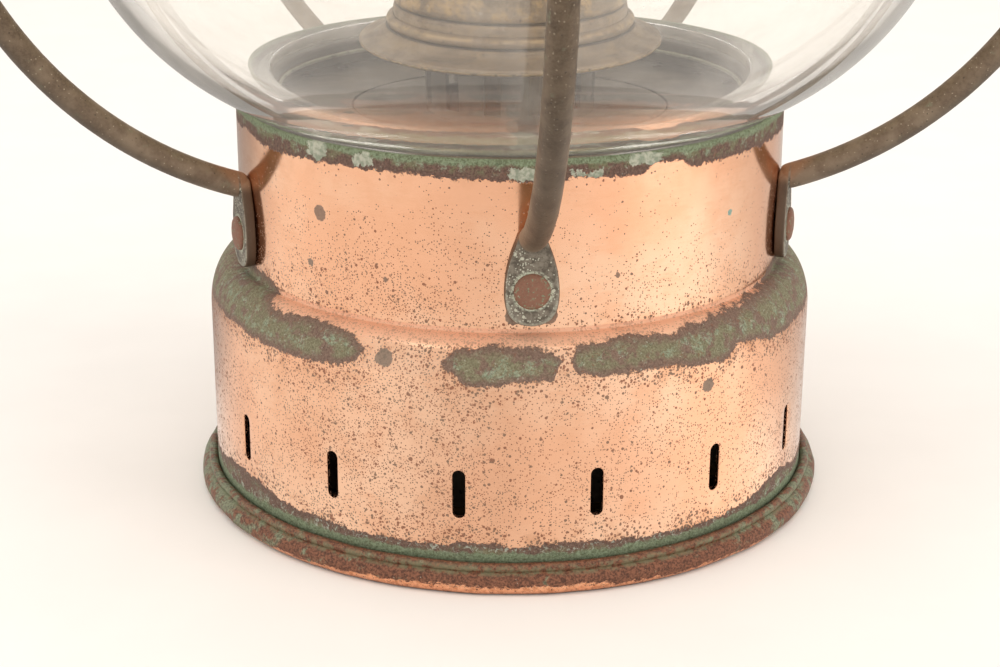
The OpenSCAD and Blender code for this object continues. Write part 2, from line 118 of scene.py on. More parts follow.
def spun(part, t):
    """A part turned by the azimuth t about the lantern's axis."""
    c, s = math.cos(t), math.sin(t)
    return [(x * c - y * s, x * s + y * c, z) for x, y, z in part[0]], part[1]


def pierced(r_out, r_in, z0, z1, count, first, width, height, zc, nx=16, nz=12, layers=5, rim=0.25):
    """A band of sheet with round-ended slots and softened edges; its open ends meet a lathe of count * nx sides."""
    half = TAU / count / 2
    straight = (height - width) / 2

    def outline(grow):
        r = width / 2 + grow
        if straight < 0.01:
            turns = [225 + 90 * i / nx for i in range(nx)] + [315 + 90 * i / nz for i in range(nz)]
            turns += [45 + 90 * i / nx for i in range(nx)] + [135 + 90 * i / nz for i in range(nz)]
            return [(r * math.cos(math.radians(a)), zc + r * math.sin(math.radians(a))) for a in turns]
        low = [(r * math.cos(math.pi * (1 + i / nx)), zc - straight + r * math.sin(math.pi * (1 + i / nx)))
               for i in range(nx)]
        right = [(r, zc - straight + 2 * straight * i / nz) for i in range(nz)]
        top = [(r * math.cos(math.pi * i / nx), zc + straight + r * math.sin(math.pi * i / nx))
               for i in range(nx)]
        left = [(-r, zc + straight - 2 * straight * i / nz) for i in range(nz)]
        return low + right + top + left

    frame_line = [(-half + 2 * half * i / nx, z0) for i in range(nx)]
    frame_line += [(half, z0 + (z1 - z0) * i / nz) for i in range(nz)]
    frame_line += [(half - 2 * half * i / nx, z1) for i in range(nx)]
    frame_line += [(-half, z1 - (z1 - z0) * i / nz) for i in range(nz)]

    def hole(radius, grow):
        return [(radius, math.asin(x / radius), z) for x, z in outline(grow)]

    def sheet(radius):
        """Rings from the sector's edge to the rim of the slot, on one face of the sheet."""
        inner = hole(radius, rim)
        rings = []
        for k in range(layers + 1):
            f = (k / layers) ** 0.8
            rings.append([(radius, a + (b - a) * f, z + (w - z) * f)
                          for (a, z), (_, b, w) in zip(frame_line, inner)])
        return rings

    rings = sheet(r_out)
    for k in (1, 2, 3):
        a = math.radians(30 * k)
        rings.append(hole(r_out - rim * (1 - math.cos(a)), rim * (1 - math.sin(a))))
    for k in (0, 1, 2):
        a = math.radians(30 * k)
        rings.append(hole(r_in + rim * (1 - math.sin(a)), rim * (1 - math.cos(a))))
    rings += sheet(r_in)[::-1]
    n = len(frame_line)
    one = quads(len(rings), n, True, False)
    verts, faces = [], []
    for s in range(count):
        t0 = math.radians(first) + s * TAU / count
        base = len(verts)
        verts += [at(r, t0 + a, z) for ring in rings for r, a, z in ring]
        faces += [tuple(base + i for i in f) for f in one]
    return verts, faces


def sweep(path, radius, sides=28, x=0.0):
    """A round bar along points (out, z) of the plane x; radius is one number or one for each point."""
    n = len(path)
    radii = radius if hasattr(radius, "__len__") else [radius] * n
    verts = []
    for i, (r, z) in enumerate(path):
        a, b = path[max(i - 1, 0)], path[min(i + 1, n - 1)]
        d = np.array([b[0] - a[0], b[1] - a[1]])
        d = d / np.linalg.norm(d)
        for j in range(sides):
            a = TAU * j / sides
            side, out = math.cos(a) * radii[i], math.sin(a) * radii[i]
            verts.append((x + side, -(r + d[1] * out), z - d[0] * out))
    faces = quads(n, sides, True, False)
    faces += [tuple(range(sides))[::-1], tuple(range((n - 1) * sides, n * sides))]
    return verts, faces


# ---------------------------------------------------------------- meshes

def raw_mesh(name, parts, ripple=None, weld=True):
    """One mesh in metres from parts in millimetres. ripple(point) moves a point before the scaling."""
    bm = bmesh.new()
    for verts, faces in parts:
        made = [bm.verts.new(v) for v in verts]
        for f in faces:
            if len(set(f)) > 2:
                bm.faces.new([made[i] for i in f])
    if weld:
        bmesh.ops.remove_doubles(bm, verts=bm.verts, dist=1e-3)
    bmesh.ops.recalc_face_normals(bm, faces=bm.faces)
    if ripple:
        for v in bm.verts:
            v.co = Vector(ripple(v.co))
    bmesh.ops.scale(bm, vec=(MM, MM, MM), verts=bm.verts)
    mesh = bpy.data.meshes.new(name)
    bm.to_mesh(mesh)
    bm.free()
    return mesh


def joined(name, meshes, how="UNION"):
    """Boolean of the first mesh with each of the others, as one new mesh."""
    temps = []
    for m in meshes:
        temp = bpy.data.objects.new("tmp", m)
        bpy.context.scene.collection.objects.link(temp)
        temps.append(temp)
    for other in temps[1:]:
        step = temps[0].modifiers.new("b", "BOOLEAN")
        step.operation = how
        step.solver = "EXACT"
        step.object = other
    bpy.context.view_layer.update()
    done = bpy.data.meshes.new_from_object(temps[0].evaluated_get(bpy.context.evaluated_depsgraph_get()))
    done.name = name
    for temp in temps:
        bpy.data.objects.remove(temp)
    return done


def piece(name, mesh, body, mat, nodes=(), sharp=38):
    """The object for a mesh, riding on a body, material and the CAD nodes it stands for."""
    obj = bpy.data.objects.new(name, mesh)
    bpy.context.scene.collection.objects.link(obj)
    mesh.shade_smooth()
    mesh.set_sharp_from_angle(angle=math.radians(sharp))
    mesh.materials.clear()
    mesh.materials.append(mat)
    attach(obj, body)
    if nodes:
        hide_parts(*nodes)
    return obj


def build(name, parts, body, mat, nodes=(), sharp=38, ripple=None, weld=True):
    return piece(name, raw_mesh(name, parts, ripple, weld), body, mat, nodes, sharp)


def hammered(amount, wave, seed=0.0, fine=0.0, fine_wave=1.0):
    """A ripple that moves a point in or out from the axis by slow noise, as spun and handled sheet has."""
    def move(p):
        q = Vector((p.x / wave + seed, p.y / wave, p.z / wave))
        d = noise.noise(q) * amount
        if fine:
            d += noise.noise(p / fine_wave + Vector((seed, 7, 3))) * fine
        r = math.hypot(p.x, p.y)
        if r < 1e-6:
            return p
        return Vector((p.x * (1 + d / r), p.y * (1 + d / r), p.z))
    return move


# ---------------------------------------------------------------- materials

class Graph:
    """A short way to write a procedural material. Distances in its textures are in millimetres."""

    def __init__(self, name):
        self.mat = bpy.data.materials.new(name)
        self.mat.use_nodes = True
        self.tree = self.mat.node_tree
        self.tree.nodes.clear()
        self.out = self.new("ShaderNodeOutputMaterial")
        where = self.new("ShaderNodeTexCoord").outputs["Object"]
        self.p = self.vec("SCALE", where, scale=1000.0)
        split = self.new("ShaderNodeSeparateXYZ")
        self.link(self.p, split.inputs[0])
        self.x, self.y, self.z = split.outputs
        self._turn = None

    def new(self, kind, **props):
        node = self.tree.nodes.new(kind)
        for key, value in props.items():
            setattr(node, key, value)
        return node

    def link(self, a, b):
        self.tree.links.new(a, b)

    def put(self, socket, value):
        if isinstance(value, bpy.types.NodeSocket):
            self.link(value, socket)
        elif isinstance(value, tuple) and len(value) == 3 and socket.type == "RGBA":
            socket.default_value = (*value, 1)
        else:
            socket.default_value = value

    def vec(self, op, a, b=None, scale=None):
        node = self.new("ShaderNodeVectorMath", operation=op)
        self.put(node.inputs[0], a)
        if b is not None:
            self.put(node.inputs[1], b)
        if scale is not None:
            self.put(node.inputs["Scale"], scale)
        return node.outputs[1] if op in ("LENGTH", "DISTANCE") else node.outputs[0]

    def math(self, op, a, b=None, c=None, clamp=False):
        node = self.new("ShaderNodeMath", operation=op, use_clamp=clamp)
        for socket, value in zip(node.inputs, (a, b, c)):
            if value is not None:
                self.put(socket, value)
        return node.outputs[0]

    def add(self, *terms):
        total = terms[0]
        for t in terms[1:]:
            total = self.math("ADD", total, t)
        return total

    def sub(self, a, b):
        return self.math("SUBTRACT", a, b)

    def mul(self, *terms):
        total = terms[0]
        for t in terms[1:]:
            total = self.math("MULTIPLY", total, t)
        return total

    def low(self, a, b):
        return self.math("MINIMUM", a, b)

    def high(self, a, b):
        return self.math("MAXIMUM", a, b)

    def step(self, value, a, b, lo=0.0, hi=1.0):
        """lo below a, hi above b, and smooth between."""
        node = self.new("ShaderNodeMapRange", interpolation_type="SMOOTHSTEP")
        self.put(node.inputs["Value"], value)
        for key, v in (("From Min", a), ("From Max", b), ("To Min", lo), ("To Max", hi)):
            self.put(node.inputs[key], v)
        return node.outputs["Result"]

    def noise(self, wave, detail=3.0, rough=0.55, seed=0.0, stretch=None, distort=0.0):
        """Noise from 0 to 1, centred on 0.5, with features about wave millimetres across."""
        q = self.p if not seed else self.vec("ADD", self.p, (seed * 13.7, seed * 7.3, seed * 29.1))
        if stretch:
            q = self.vec("MULTIPLY", q, stretch)
        node = self.new("ShaderNodeTexNoise")
        self.link(q, node.inputs["Vector"])
        node.inputs["Scale"].default_value = 1.0 / wave
        node.inputs["Detail"].default_value = detail
        node.inputs["Roughness"].default_value = rough
        node.inputs["Distortion"].default_value = distort
        return node.outputs["Fac"]

    def cells(self, size, seed=0.0):
        """Voronoi cells: distance to the nearest centre in millimetres, and a random number for each cell."""
        q = self.p if not seed else self.vec("ADD", self.p, (seed * 3.1, seed * 11.9, seed * 5.7))
        node = self.new("ShaderNodeTexVoronoi")
        self.link(q, node.inputs["Vector"])
        node.inputs["Scale"].default_value = 1.0 / size
        rand = self.new("ShaderNodeSeparateColor")
        self.link(node.outputs["Color"], rand.inputs[0])
        return self.mul(node.outputs["Distance"], size), rand.outputs[0]

    def mix(self, fac, a, b):
        node = self.new("ShaderNodeMix", data_type="RGBA")
        self.put(node.inputs[0], fac)
        self.put(node.inputs[6], a)
        self.put(node.inputs[7], b)
        return node.outputs[2]

    def blend(self, fac, a, b):
        """A number mixed between a and b."""
        node = self.new("ShaderNodeMix", data_type="FLOAT")
        self.put(node.inputs[0], fac)
        self.put(node.inputs[2], a)
        self.put(node.inputs[3], b)
        return node.outputs[0]

    @property
    def turn(self):
        """Azimuth from 0 to 1, with the front at 0.5."""
        if self._turn is None:
            a = self.math("ARCTAN2", self.x, self.mul(self.y, -1.0))
            self._turn = self.math("MULTIPLY_ADD", a, 1 / TAU, 0.5)
        return self._turn

    def round_curve(self, points, lo, hi):
        """A number that follows the azimuth through (degrees, value) points, which lie between lo and hi."""
        node = self.new("ShaderNodeFloatCurve")
        line = node.mapping.curves[0]
        spots = sorted(points)
        ends = (spots[0][1] + spots[-1][1]) / 2
        spots = [(-180, ends)] + spots + [(180, ends)]
        for i, (deg, value) in enumerate(spots):
            xy = ((deg + 180) / 360, (value - lo) / (hi - lo))
            if i in (0, len(spots) - 1):
                line.points[0 if i == 0 else -1].location = xy
            else:
                line.points.new(*xy)
        node.mapping.update()
        self.put(node.inputs["Value"], self.turn)
        return self.math("MULTIPLY_ADD", node.outputs[0], hi - lo, lo)

    def bump(self, height, under=None):
        """Bump from a height in millimetres."""
        node = self.new("ShaderNodeBump")
        node.inputs["Strength"].default_value = 1.0
        node.inputs["Distance"].default_value = MM
        self.put(node.inputs["Height"], height)
        if under is not None:
            self.link(under, node.inputs["Normal"])
        return node.outputs[0]

    def shade(self, color, rough, metal=0.0, height=None, **fixed):
        node = self.new("ShaderNodeBsdfPrincipled")
        self.put(node.inputs["Base Color"], color)
        self.put(node.inputs["Roughness"], rough)
        self.put(node.inputs["Metallic"], metal)
        if height is not None:
            self.link(self.bump(height), node.inputs["Normal"])
        for key, value in fixed.items():
            self.put(node.inputs[key.replace("_", " ")], value)
        return node.outputs[0]

    def done(self, shader):
        self.link(shader, self.out.inputs["Surface"])
        return self.mat


def specks(g, size, biggest, density, seed):
    """Small round pits: one in each cell whose random number is under density."""
    dist, rand = g.cells(size, seed)
    dist = g.add(dist, g.mul(g.sub(g.noise(size * 0.4, 2, 0.6, seed + 1), 0.5), size * 0.30))
    room = g.mul(g.math("MULTIPLY", g.sub(density, rand), 6.0, clamp=True), biggest)
    return g.step(g.sub(room, dist), -0.04, 0.07)


def crust(g, inside, seed, green, pale):
    """Colour and height of verdigris. inside is the depth into the patch in millimetres, green how green it is, and
    pale how sunlit and dusty it is."""
    grain = g.step(g.noise(0.5, 5, 0.85, seed + 1), 0.34, 0.66)
    crumb = g.step(g.noise(1.3, 5, 0.8, seed + 2, distort=0.5), 0.42, 0.60)
    broad = g.noise(4.6, 5, 0.7, seed)
    dark = g.mix(grain, (0.070, 0.036, 0.026), (0.185, 0.105, 0.078))
    light = g.mix(grain, (0.140, 0.080, 0.058), (0.330, 0.225, 0.162))
    col = g.mix(pale, dark, light)
    body = g.step(inside, 0.5, 2.6)
    olive = g.mix(g.mul(grain, g.add(0.45, g.mul(pale, 0.55))), (0.115, 0.108, 0.052), (0.34, 0.33, 0.20))
    start = g.sub(0.62, g.mul(green, 0.22))
    col = g.mix(g.mul(body, g.step(broad, start, g.add(start, 0.09)), 0.85), col, olive)
    aqua = g.mix(grain, (0.16, 0.22, 0.14), (0.42, 0.51, 0.37))
    veins = g.mul(body, crumb, g.step(g.noise(3.4, 4, 0.6, seed + 5), g.sub(0.62, g.mul(green, 0.12)), g.sub(0.70, g.mul(green, 0.12))))
    col = g.mix(g.mul(veins, 0.75), col, aqua)
    rust = g.step(g.noise(1.4, 4, 0.7, seed + 4), 0.60, 0.66)
    col = g.mix(g.mul(rust, 0.6), col, (0.23, 0.095, 0.05))
    chips = g.mul(g.step(g.noise(0.8, 3, 0.6, seed + 3), 0.66, 0.70), g.step(inside, 0.2, 0.8))
    col = g.mix(g.mul(chips, 0.6), col, (0.50, 0.50, 0.41))
    height = g.add(g.mul(grain, 0.05), g.mul(crumb, 0.05), g.mul(broad, 0.12), g.mul(chips, 0.04))
    return col, height


def copper(name, bands=(), shine=0.12, pits=0.4, spots=(), flakes=(), seed=0.0, pit_curve=None, age=0.0, crease=None,
           sides=None, damp=None):
    """Polished copper with pits, tarnish and ragged bands of patina.
    A band is (low edge, high edge, green, pale), an edge a height or a list of (degrees, height).
    Below and above the two heights of damp the patina is plain green."""
    g = Graph(name)
    ragged = g.add(g.mul(g.sub(g.noise(5.0, 3, 0.6, seed + 1), 0.5), 2.6),
                   g.mul(g.sub(g.noise(1.5, 5, 0.85, seed + 2), 0.5), 4.2))

    def edge(e):
        if isinstance(e, (int, float)):
            return float(e)
        values = [v for _, v in e]
        return g.round_curve(e, min(values) - 3, max(values) + 3)

    depth = green = pale = None
    for lo, hi, greenness, paleness in bands:
        d = g.low(g.sub(g.z, edge(lo)), g.sub(edge(hi), g.z))
        here = g.step(d, -1.5, -0.5)
        depth = d if depth is None else g.high(depth, d)
        green = g.mul(here, greenness) if green is None else g.high(green, g.mul(here, greenness))
        pale = g.mul(here, paleness) if pale is None else g.high(pale, g.mul(here, paleness))
    fine = g.noise(0.9, 3, 0.6, seed + 5)
    slow = g.noise(38.0, 3, 0.5, seed + 6)
    mid = g.noise(9.0, 4, 0.6, seed + 7)
    rub = g.noise(5.0, 4, 0.6, seed + 8, stretch=(1, 1, 5))
    bright = g.mix(g.step(slow, 0.38, 0.62), (0.935, 0.510, 0.315), (0.970, 0.605, 0.405))
    dull = g.mix(mid, (0.82, 0.405, 0.225), (0.92, 0.505, 0.31))
    tone = g.step(g.add(g.mul(mid, 0.7), g.mul(rub, 0.3), age), 0.44, 0.66)
    col = g.mix(g.mul(tone, 0.6), bright, dull)
    rough = g.add(shine, g.mul(g.step(mid, 0.4, 0.75), 0.05), g.mul(rub, 0.03))
    height = g.add(g.mul(g.noise(15.0, 2, 0.5, seed + 9), 0.030), g.mul(rub, 0.0016), g.mul(fine, 0.0010))

    # pits: fine pepper everywhere, thicker where pit_curve says and close to the patina
    density = g.mul(g.step(g.noise(13.0, 4, 0.65, seed + 3), 0.32, 0.66, 0.35, 1.0), pits)
    if pit_curve is not None:
        share = pit_curve(g)
        density = g.mul(density, share)
    pepper = specks(g, 0.52, 0.19, density, seed + 1)
    coarse = g.mul(density, 0.42)
    if depth is not None:
        near = g.mul(g.step(depth, -7.0, -0.5), g.step(g.noise(8.0, 4, 0.65, seed + 4), 0.36, 0.56))
        if pit_curve is not None:
            near = g.mul(near, g.low(share, 1.0))
        coarse = g.add(coarse, g.mul(near, 0.5))
        pepper = g.high(pepper, specks(g, 0.8, 0.36, g.mul(near, 0.85), seed + 12))
        haze = g.mul(near, g.step(g.noise(5.0, 3, 0.6, seed + 13), 0.44, 0.62))
        col = g.mix(g.mul(haze, 0.5), col, (0.62, 0.30, 0.155))
    pepper = g.high(pepper, specks(g, 1.2, 0.38, coarse, seed + 2))
    pepper = g.high(pepper, specks(g, 3.8, 0.55, g.mul(density, 0.4), seed + 3))
    stain = g.mix(g.step(g.noise(2.6, 2, 0.5, seed + 10), 0.4, 0.6), (0.19, 0.060, 0.026), (0.13, 0.085, 0.055))
    if sides is not None:
        # towards the sides the copper is browner and darker: partly dirt, with more pits and a rougher finish, and
        # partly painted shade that darkens what it reflects there
        dirt_and_shade = g.mul(g.round_curve(sides, 0, 1), g.step(mid, 0.30, 0.62, 0.5, 1.0), g.step(g.z, 52.0, 64.0, 1.3, 0.25))
        col = g.mix(g.mul(dirt_and_shade, 0.6), col, (0.46, 0.29, 0.20))
        pepper = g.high(pepper, specks(g, 0.9, 0.40, g.mul(dirt_and_shade, 0.5), seed + 14))
        rough = g.add(rough, g.mul(dirt_and_shade, 0.10))
    col = g.mix(g.mul(pepper, 0.85), col, stain)
    matt = g.mul(pepper, 0.8)
    height = g.sub(height, g.mul(pepper, 0.02))
    if crease:
        # dirt dulls the corner where the neck rises out of the shoulder
        corner = g.mul(g.step(g.z, crease - 3.2, crease - 1.4), g.step(g.z, crease + 0.6, crease + 0.1))
        rough = g.add(rough, g.mul(corner, 0.30))
        col = g.mix(g.mul(corner, 0.6), col, (0.80, 0.46, 0.31))
        matt = g.high(matt, g.mul(corner, 0.5))

    # single spots: (degrees, height, radius, how green)
    for deg, z, radius, tint in spots:
        t = math.radians(deg)
        r = 69.6 if z > 62 else 78.0
        away = g.vec("DISTANCE", g.p, at(r, t, z))
        blot = g.step(g.sub(radius, g.add(away, g.mul(g.sub(g.noise(1.1, 4, 0.8, seed + 11), 0.5), 1.8))), -0.08, 0.10)
        col = g.mix(g.mul(blot, 0.92), col, g.mix(fine, (0.13 - 0.04 * tint, 0.078 + 0.12 * tint, 0.052 + 0.12 * tint),
                                                   (0.27 - 0.05 * tint, 0.18 + 0.22 * tint, 0.13 + 0.22 * tint)))
        matt = g.high(matt, blot)

    if depth is not None:
        inside = g.add(depth, ragged)
        mask = g.step(inside, -0.03, 0.07)
        crusted, crust_height = crust(g, inside, seed + 20, green, pale)
        if damp is not None:
            wavy = g.add(g.z, g.mul(g.sub(g.noise(3.2, 4, 0.7, seed + 15), 0.5), 3.4))
            wet = g.high(g.step(wavy, damp[0] + 0.35, damp[0] - 0.35), g.step(wavy, damp[1] - 0.5, damp[1] + 0.5))
            lace = g.mul(g.step(wavy, damp[0] + 2.6, damp[0] + 1.4), g.step(g.noise(1.5, 5, 0.75, seed + 17, distort=1.2), 0.56, 0.60))
            crusted = g.mix(g.mul(lace, 0.85), crusted, (0.42, 0.46, 0.37))
            crusted = g.mix(g.mul(wet, 0.85), crusted, g.mix(g.step(g.noise(0.6, 4, 0.8, seed + 16), 0.36, 0.62),
                                                             (0.095, 0.125, 0.062), (0.26, 0.33, 0.205)))
        col = g.mix(mask, col, crusted)
        matt = g.high(matt, mask)
        height = g.blend(mask, height, g.add(0.06, crust_height))
    for deg0, deg1, z0, z1 in flakes:
        # pale flakes of old lacquer on the patina
        a = g.sub(g.mul(g.sub(g.turn, 0.5), 360.0), (deg0 + deg1) / 2)
        side = g.sub((deg1 - deg0) / 2, g.math("ABSOLUTE", a))
        d = g.low(g.mul(side, 1.2), g.low(g.sub(g.z, z0), g.sub(z1, g.z)))
        d = g.add(d, g.mul(g.sub(g.noise(3.4, 4, 0.7, seed + 31 + deg0 * 0.1), 0.5), 6.5))
        flake = g.step(d, 0.0, 0.10)
        col = g.mix(g.mul(flake, 0.9), col, g.mix(g.step(g.noise(1.1, 3, 0.6, seed + 32), 0.35, 0.65), (0.27, 0.31, 0.23), (0.52, 0.52, 0.42)))
        height = g.add(height, g.mul(flake, 0.10))
        matt = g.high(matt, flake)
    metal = g.sub(1.0, g.mul(matt, 0.95))
    rough = g.blend(matt, rough, g.add(0.62, g.mul(fine, 0.25)))
    return g.done(g.shade(col, rough, metal, height))


def foot_metal(name):
    """The rolled foot: brown and green crust, rubbed to bare copper low on the bead, but with painted shade keeping its
    very bottom edge dark.
    """
    g = Graph(name)
    grain = g.noise(0.6, 3, 0.7, 3)
    r = g.vec("LENGTH", g.vec("MULTIPLY", g.p, (1, 1, 0)))
    brown = g.mix(g.step(grain, 0.36, 0.64), (0.075, 0.026, 0.013), (0.25, 0.098, 0.050))
    green = g.mix(g.step(grain, 0.36, 0.64), (0.085, 0.10, 0.055), (0.25, 0.30, 0.19))
    sides = g.round_curve([(-170, 0.5), (-110, 0.8), (-70, 1.0), (-50, 0.7), (-30, 0.2), (0, 0.05), (30, 0.15), (52, 0.6), (75, 0.9), (110, 0.6)], 0, 1)
    start = g.sub(0.62, g.mul(sides, 0.20))
    col = g.mix(g.mul(g.step(g.noise(4.0, 4, 0.65, 4), start, g.add(start, 0.12)), 0.8), brown, green)
    crevice = g.mul(g.step(g.z, 4.6, 5.4), g.step(g.z, 7.6, 6.4))
    col = g.mix(g.mul(crevice, g.step(g.noise(2.4, 4, 0.7, 5), 0.42, 0.56), 0.6), col, (0.20, 0.215, 0.12))
    wear_line = g.round_curve([(-170, 0.6), (-120, 1.0), (-75, 0.7), (-50, 1.4), (-35, 2.0), (-24, 2.5), (-10, 2.9),
                               (8, 2.7), (20, 1.7), (38, 1.6), (60, 0.9), (110, 1.1), (160, 0.8)], 0, 4)
    wear_and_edge_shade = g.add(g.sub(wear_line, g.z), g.mul(g.sub(g.noise(3.5, 5, 0.8, 6, stretch=(1, 1, 2)), 0.5), 5.0))
    # painted shade: the bare copper stops short of the very bottom edge, which keeps the dark crust colour where the
    # bead meets the floor
    wear_and_edge_shade = g.mul(g.step(wear_and_edge_shade, 0.0, 0.25), g.step(r, 78.5, 79.2), g.step(g.noise(0.8, 3, 0.7, 10), 0.34, 0.42),
                 g.step(g.z, 0.3, 0.7))
    glow = g.step(g.noise(1.2, 3, 0.6, 8), 0.35, 0.6)
    col = g.mix(wear_and_edge_shade, col, g.mix(glow, (0.62, 0.27, 0.14), (0.86, 0.43, 0.25)))
    pale = g.mul(g.step(g.noise(1.1, 3, 0.6, 7), 0.70, 0.75), g.sub(1.0, wear_and_edge_shade))
    col = g.mix(g.mul(pale, 0.75), col, (0.46, 0.47, 0.38))
    rough = g.blend(wear_and_edge_shade, g.add(0.42, g.mul(grain, 0.3)), 0.26)
    metal = g.blend(wear_and_edge_shade, 0.18, 1.0)
    height = g.add(g.mul(grain, 0.09), g.mul(g.noise(2.0, 3, 0.6, 9), 0.10), g.mul(wear_and_edge_shade, -0.04))
    return g.done(g.shade(col, rough, metal, height))


def bronze(name):
    """Forged bronze bar, dark brown with a dusty bloom and pale pinpricks; an ear is greener and more spotted."""
    g = Graph(name)
    grain = g.noise(0.7, 3, 0.65, 2)
    cloud = g.noise(6.0, 4, 0.6, 3)
    col = g.mix(g.step(cloud, 0.36, 0.64), (0.080, 0.050, 0.028), (0.160, 0.108, 0.064))
    col = g.mix(g.mul(g.step(grain, 0.35, 0.65), 0.4), col, (0.21, 0.155, 0.10))
    dusty = g.high(g.step(g.z, 150.0, 84.0), g.step(g.z, 255.0, 285.0))
    col = g.mix(g.mul(dusty, 0.45), col, g.mix(g.step(cloud, 0.4, 0.62), (0.24, 0.175, 0.12), (0.33, 0.26, 0.19)))
    col = g.mix(g.mul(g.step(g.noise(3.2, 4, 0.65, 4), 0.60, 0.74), 0.6), col, (0.20, 0.205, 0.13))
    pale = specks(g, 0.85, 0.19, 0.42, 5)
    col = g.mix(g.mul(pale, 0.6), col, (0.46, 0.38, 0.27))
    normal = g.new("ShaderNodeSeparateXYZ")
    g.link(g.new("ShaderNodeTexCoord").outputs["Normal"], normal.inputs[0])
    # painted shade: above the neck, the downward-facing underside of the bar is darkened towards near black
    under = g.mul(g.step(normal.outputs[2], 0.1, -0.75), g.step(g.z, 80.0, 90.0))
    col = g.mix(g.mul(under, 0.60), col, (0.030, 0.020, 0.012))
    # painted light: upward-facing faces of the bar are lightened to a golden brown in grainy patches
    painted_top_light = g.mul(g.step(normal.outputs[2], 0.25, 0.85), g.step(grain, 0.35, 0.6))
    col = g.mix(g.mul(painted_top_light, 0.30), col, (0.30, 0.215, 0.115))
    dark = specks(g, 1.1, 0.22, 0.30, 6)
    col = g.mix(g.mul(dark, 0.6), col, (0.05, 0.036, 0.024))
    # place on the ear: how far out, how far sideways and how far up from the rivet
    radial = g.vec("LENGTH", g.vec("MULTIPLY", g.p, (1, 1, 0)))
    angle = g.math("WRAP", g.sub(g.mul(g.sub(g.turn, 0.5), TAU), ROD_TURN), ROD_STEP / 2, -ROD_STEP / 2)
    across = g.mul(radial, g.math("SINE", angle))
    out = g.mul(radial, g.math("COSINE", angle))
    up = g.sub(g.z, 72.3)
    # painted light: the side of the bar towards the neck is tinted a warmer brown, standing in for the copper-coloured
    # light the neck throws back onto it
    inner_line = g.add(72.8, g.mul(g.high(g.sub(g.z, 84.0), 0.0), 0.9))
    inner = g.mul(g.step(g.sub(out, inner_line), 1.0, -2.2), g.step(g.z, 125.0, 90.0))
    col = g.mix(g.mul(inner, 0.40), col, (0.42, 0.20, 0.10))
    # painted shade: where the bar runs close to the neck and the collar, just past its ears, its faces towards the wall
    # are darkened to near black
    wall_side_shade = g.mul(g.step(out, 72.25, 72.0), g.step(g.z, 86.0, 83.0), g.step(g.z, 282.0, 278.0))
    col = g.mix(g.mul(wall_side_shade, 0.75), col, (0.045, 0.030, 0.019))
    face = g.mul(g.step(out, 72.05, 72.30), g.step(out, 72.80, 72.55))
    ear = g.high(g.mul(face, g.step(g.z, 89.0, 84.0)), g.step(g.z, 282.5, 285.0))
    slate = g.mix(g.step(g.noise(1.6, 5, 0.75, 7), 0.36, 0.64), (0.070, 0.060, 0.045), (0.215, 0.19, 0.15))
    col = g.mix(g.mul(ear, 0.9), col, slate)
    salt = g.step(g.noise(4.0, 3, 0.6, 8), 0.40, 0.62, 0.25, 1.0)
    dots = g.high(specks(g, 0.60, 0.20, g.mul(ear, salt, 0.85), 9), specks(g, 1.7, 0.46, g.mul(ear, salt, 0.42), 12))
    col = g.mix(g.mul(dots, 0.85), col, (0.56, 0.55, 0.44))
    away = g.math("SQRT", g.add(g.mul(across, across), g.mul(up, up)))
    halo = g.mul(g.step(away, 4.0, 4.2), g.step(away, g.add(4.1, g.mul(g.noise(1.5, 4, 0.8, 10), 2.2)), 4.3),
                 g.step(g.noise(0.8, 4, 0.8, 13), 0.42, 0.50))
    col = g.mix(g.mul(halo, g.mul(ear, 0.9)), col, (0.60, 0.63, 0.49))
    oval = g.add(g.mul(across, across, 1 / 6.3 ** 2), g.mul(up, up, g.step(up, -0.5, 0.5, 1 / 8.5 ** 2, 1 / 17.0 ** 2)))
    rim = g.mul(g.step(oval, 0.76, 0.92), ear, g.step(g.noise(1.3, 3, 0.7, 14), 0.34, 0.56))
    col = g.mix(g.mul(rim, 0.6), col, (0.42, 0.41, 0.33))
    height = g.add(g.mul(grain, 0.05), g.mul(g.noise(3.0, 3, 0.6, 11), 0.10), g.mul(dots, 0.05), g.mul(dark, -0.05))
    rough = g.add(0.40, g.mul(grain, 0.22), g.mul(ear, 0.08))
    return g.done(g.shade(col, rough, 0.35, height))


def brass(name, bright, dull, tarnish, rough=0.3, seed=0.0, metal=1.0, speck=0.3):
    """Aged brass: two tones in clouds, brown tarnish and dust, fine turning lines."""
    g = Graph(name)
    cloud = g.noise(11.0, 4, 0.6, seed + 1)
    grain = g.noise(0.8, 3, 0.6, seed + 2)
    lines = g.noise(5.0, 3, 0.6, seed + 3, stretch=(0.25, 0.25, 9))
    col = g.mix(g.step(cloud, 0.35, 0.68), bright, dull)
    col = g.mix(g.mul(g.step(g.noise(3.5, 4, 0.7, seed + 4), 0.52, 0.72), 0.65), col, tarnish)
    spots_ = specks(g, 1.6, 0.34, speck, seed + 5)
    col = g.mix(g.mul(spots_, 0.7), col, tuple(c * 0.45 for c in tarnish))
    height = g.add(g.mul(lines, 0.004), g.mul(grain, 0.012), g.mul(g.noise(9.0, 2, 0.5, seed + 6), 0.03))
    r = g.add(rough, g.mul(g.step(cloud, 0.4, 0.7), 0.12), g.mul(spots_, 0.2), g.mul(lines, 0.05))
    return g.done(g.shade(col, r, metal, height))


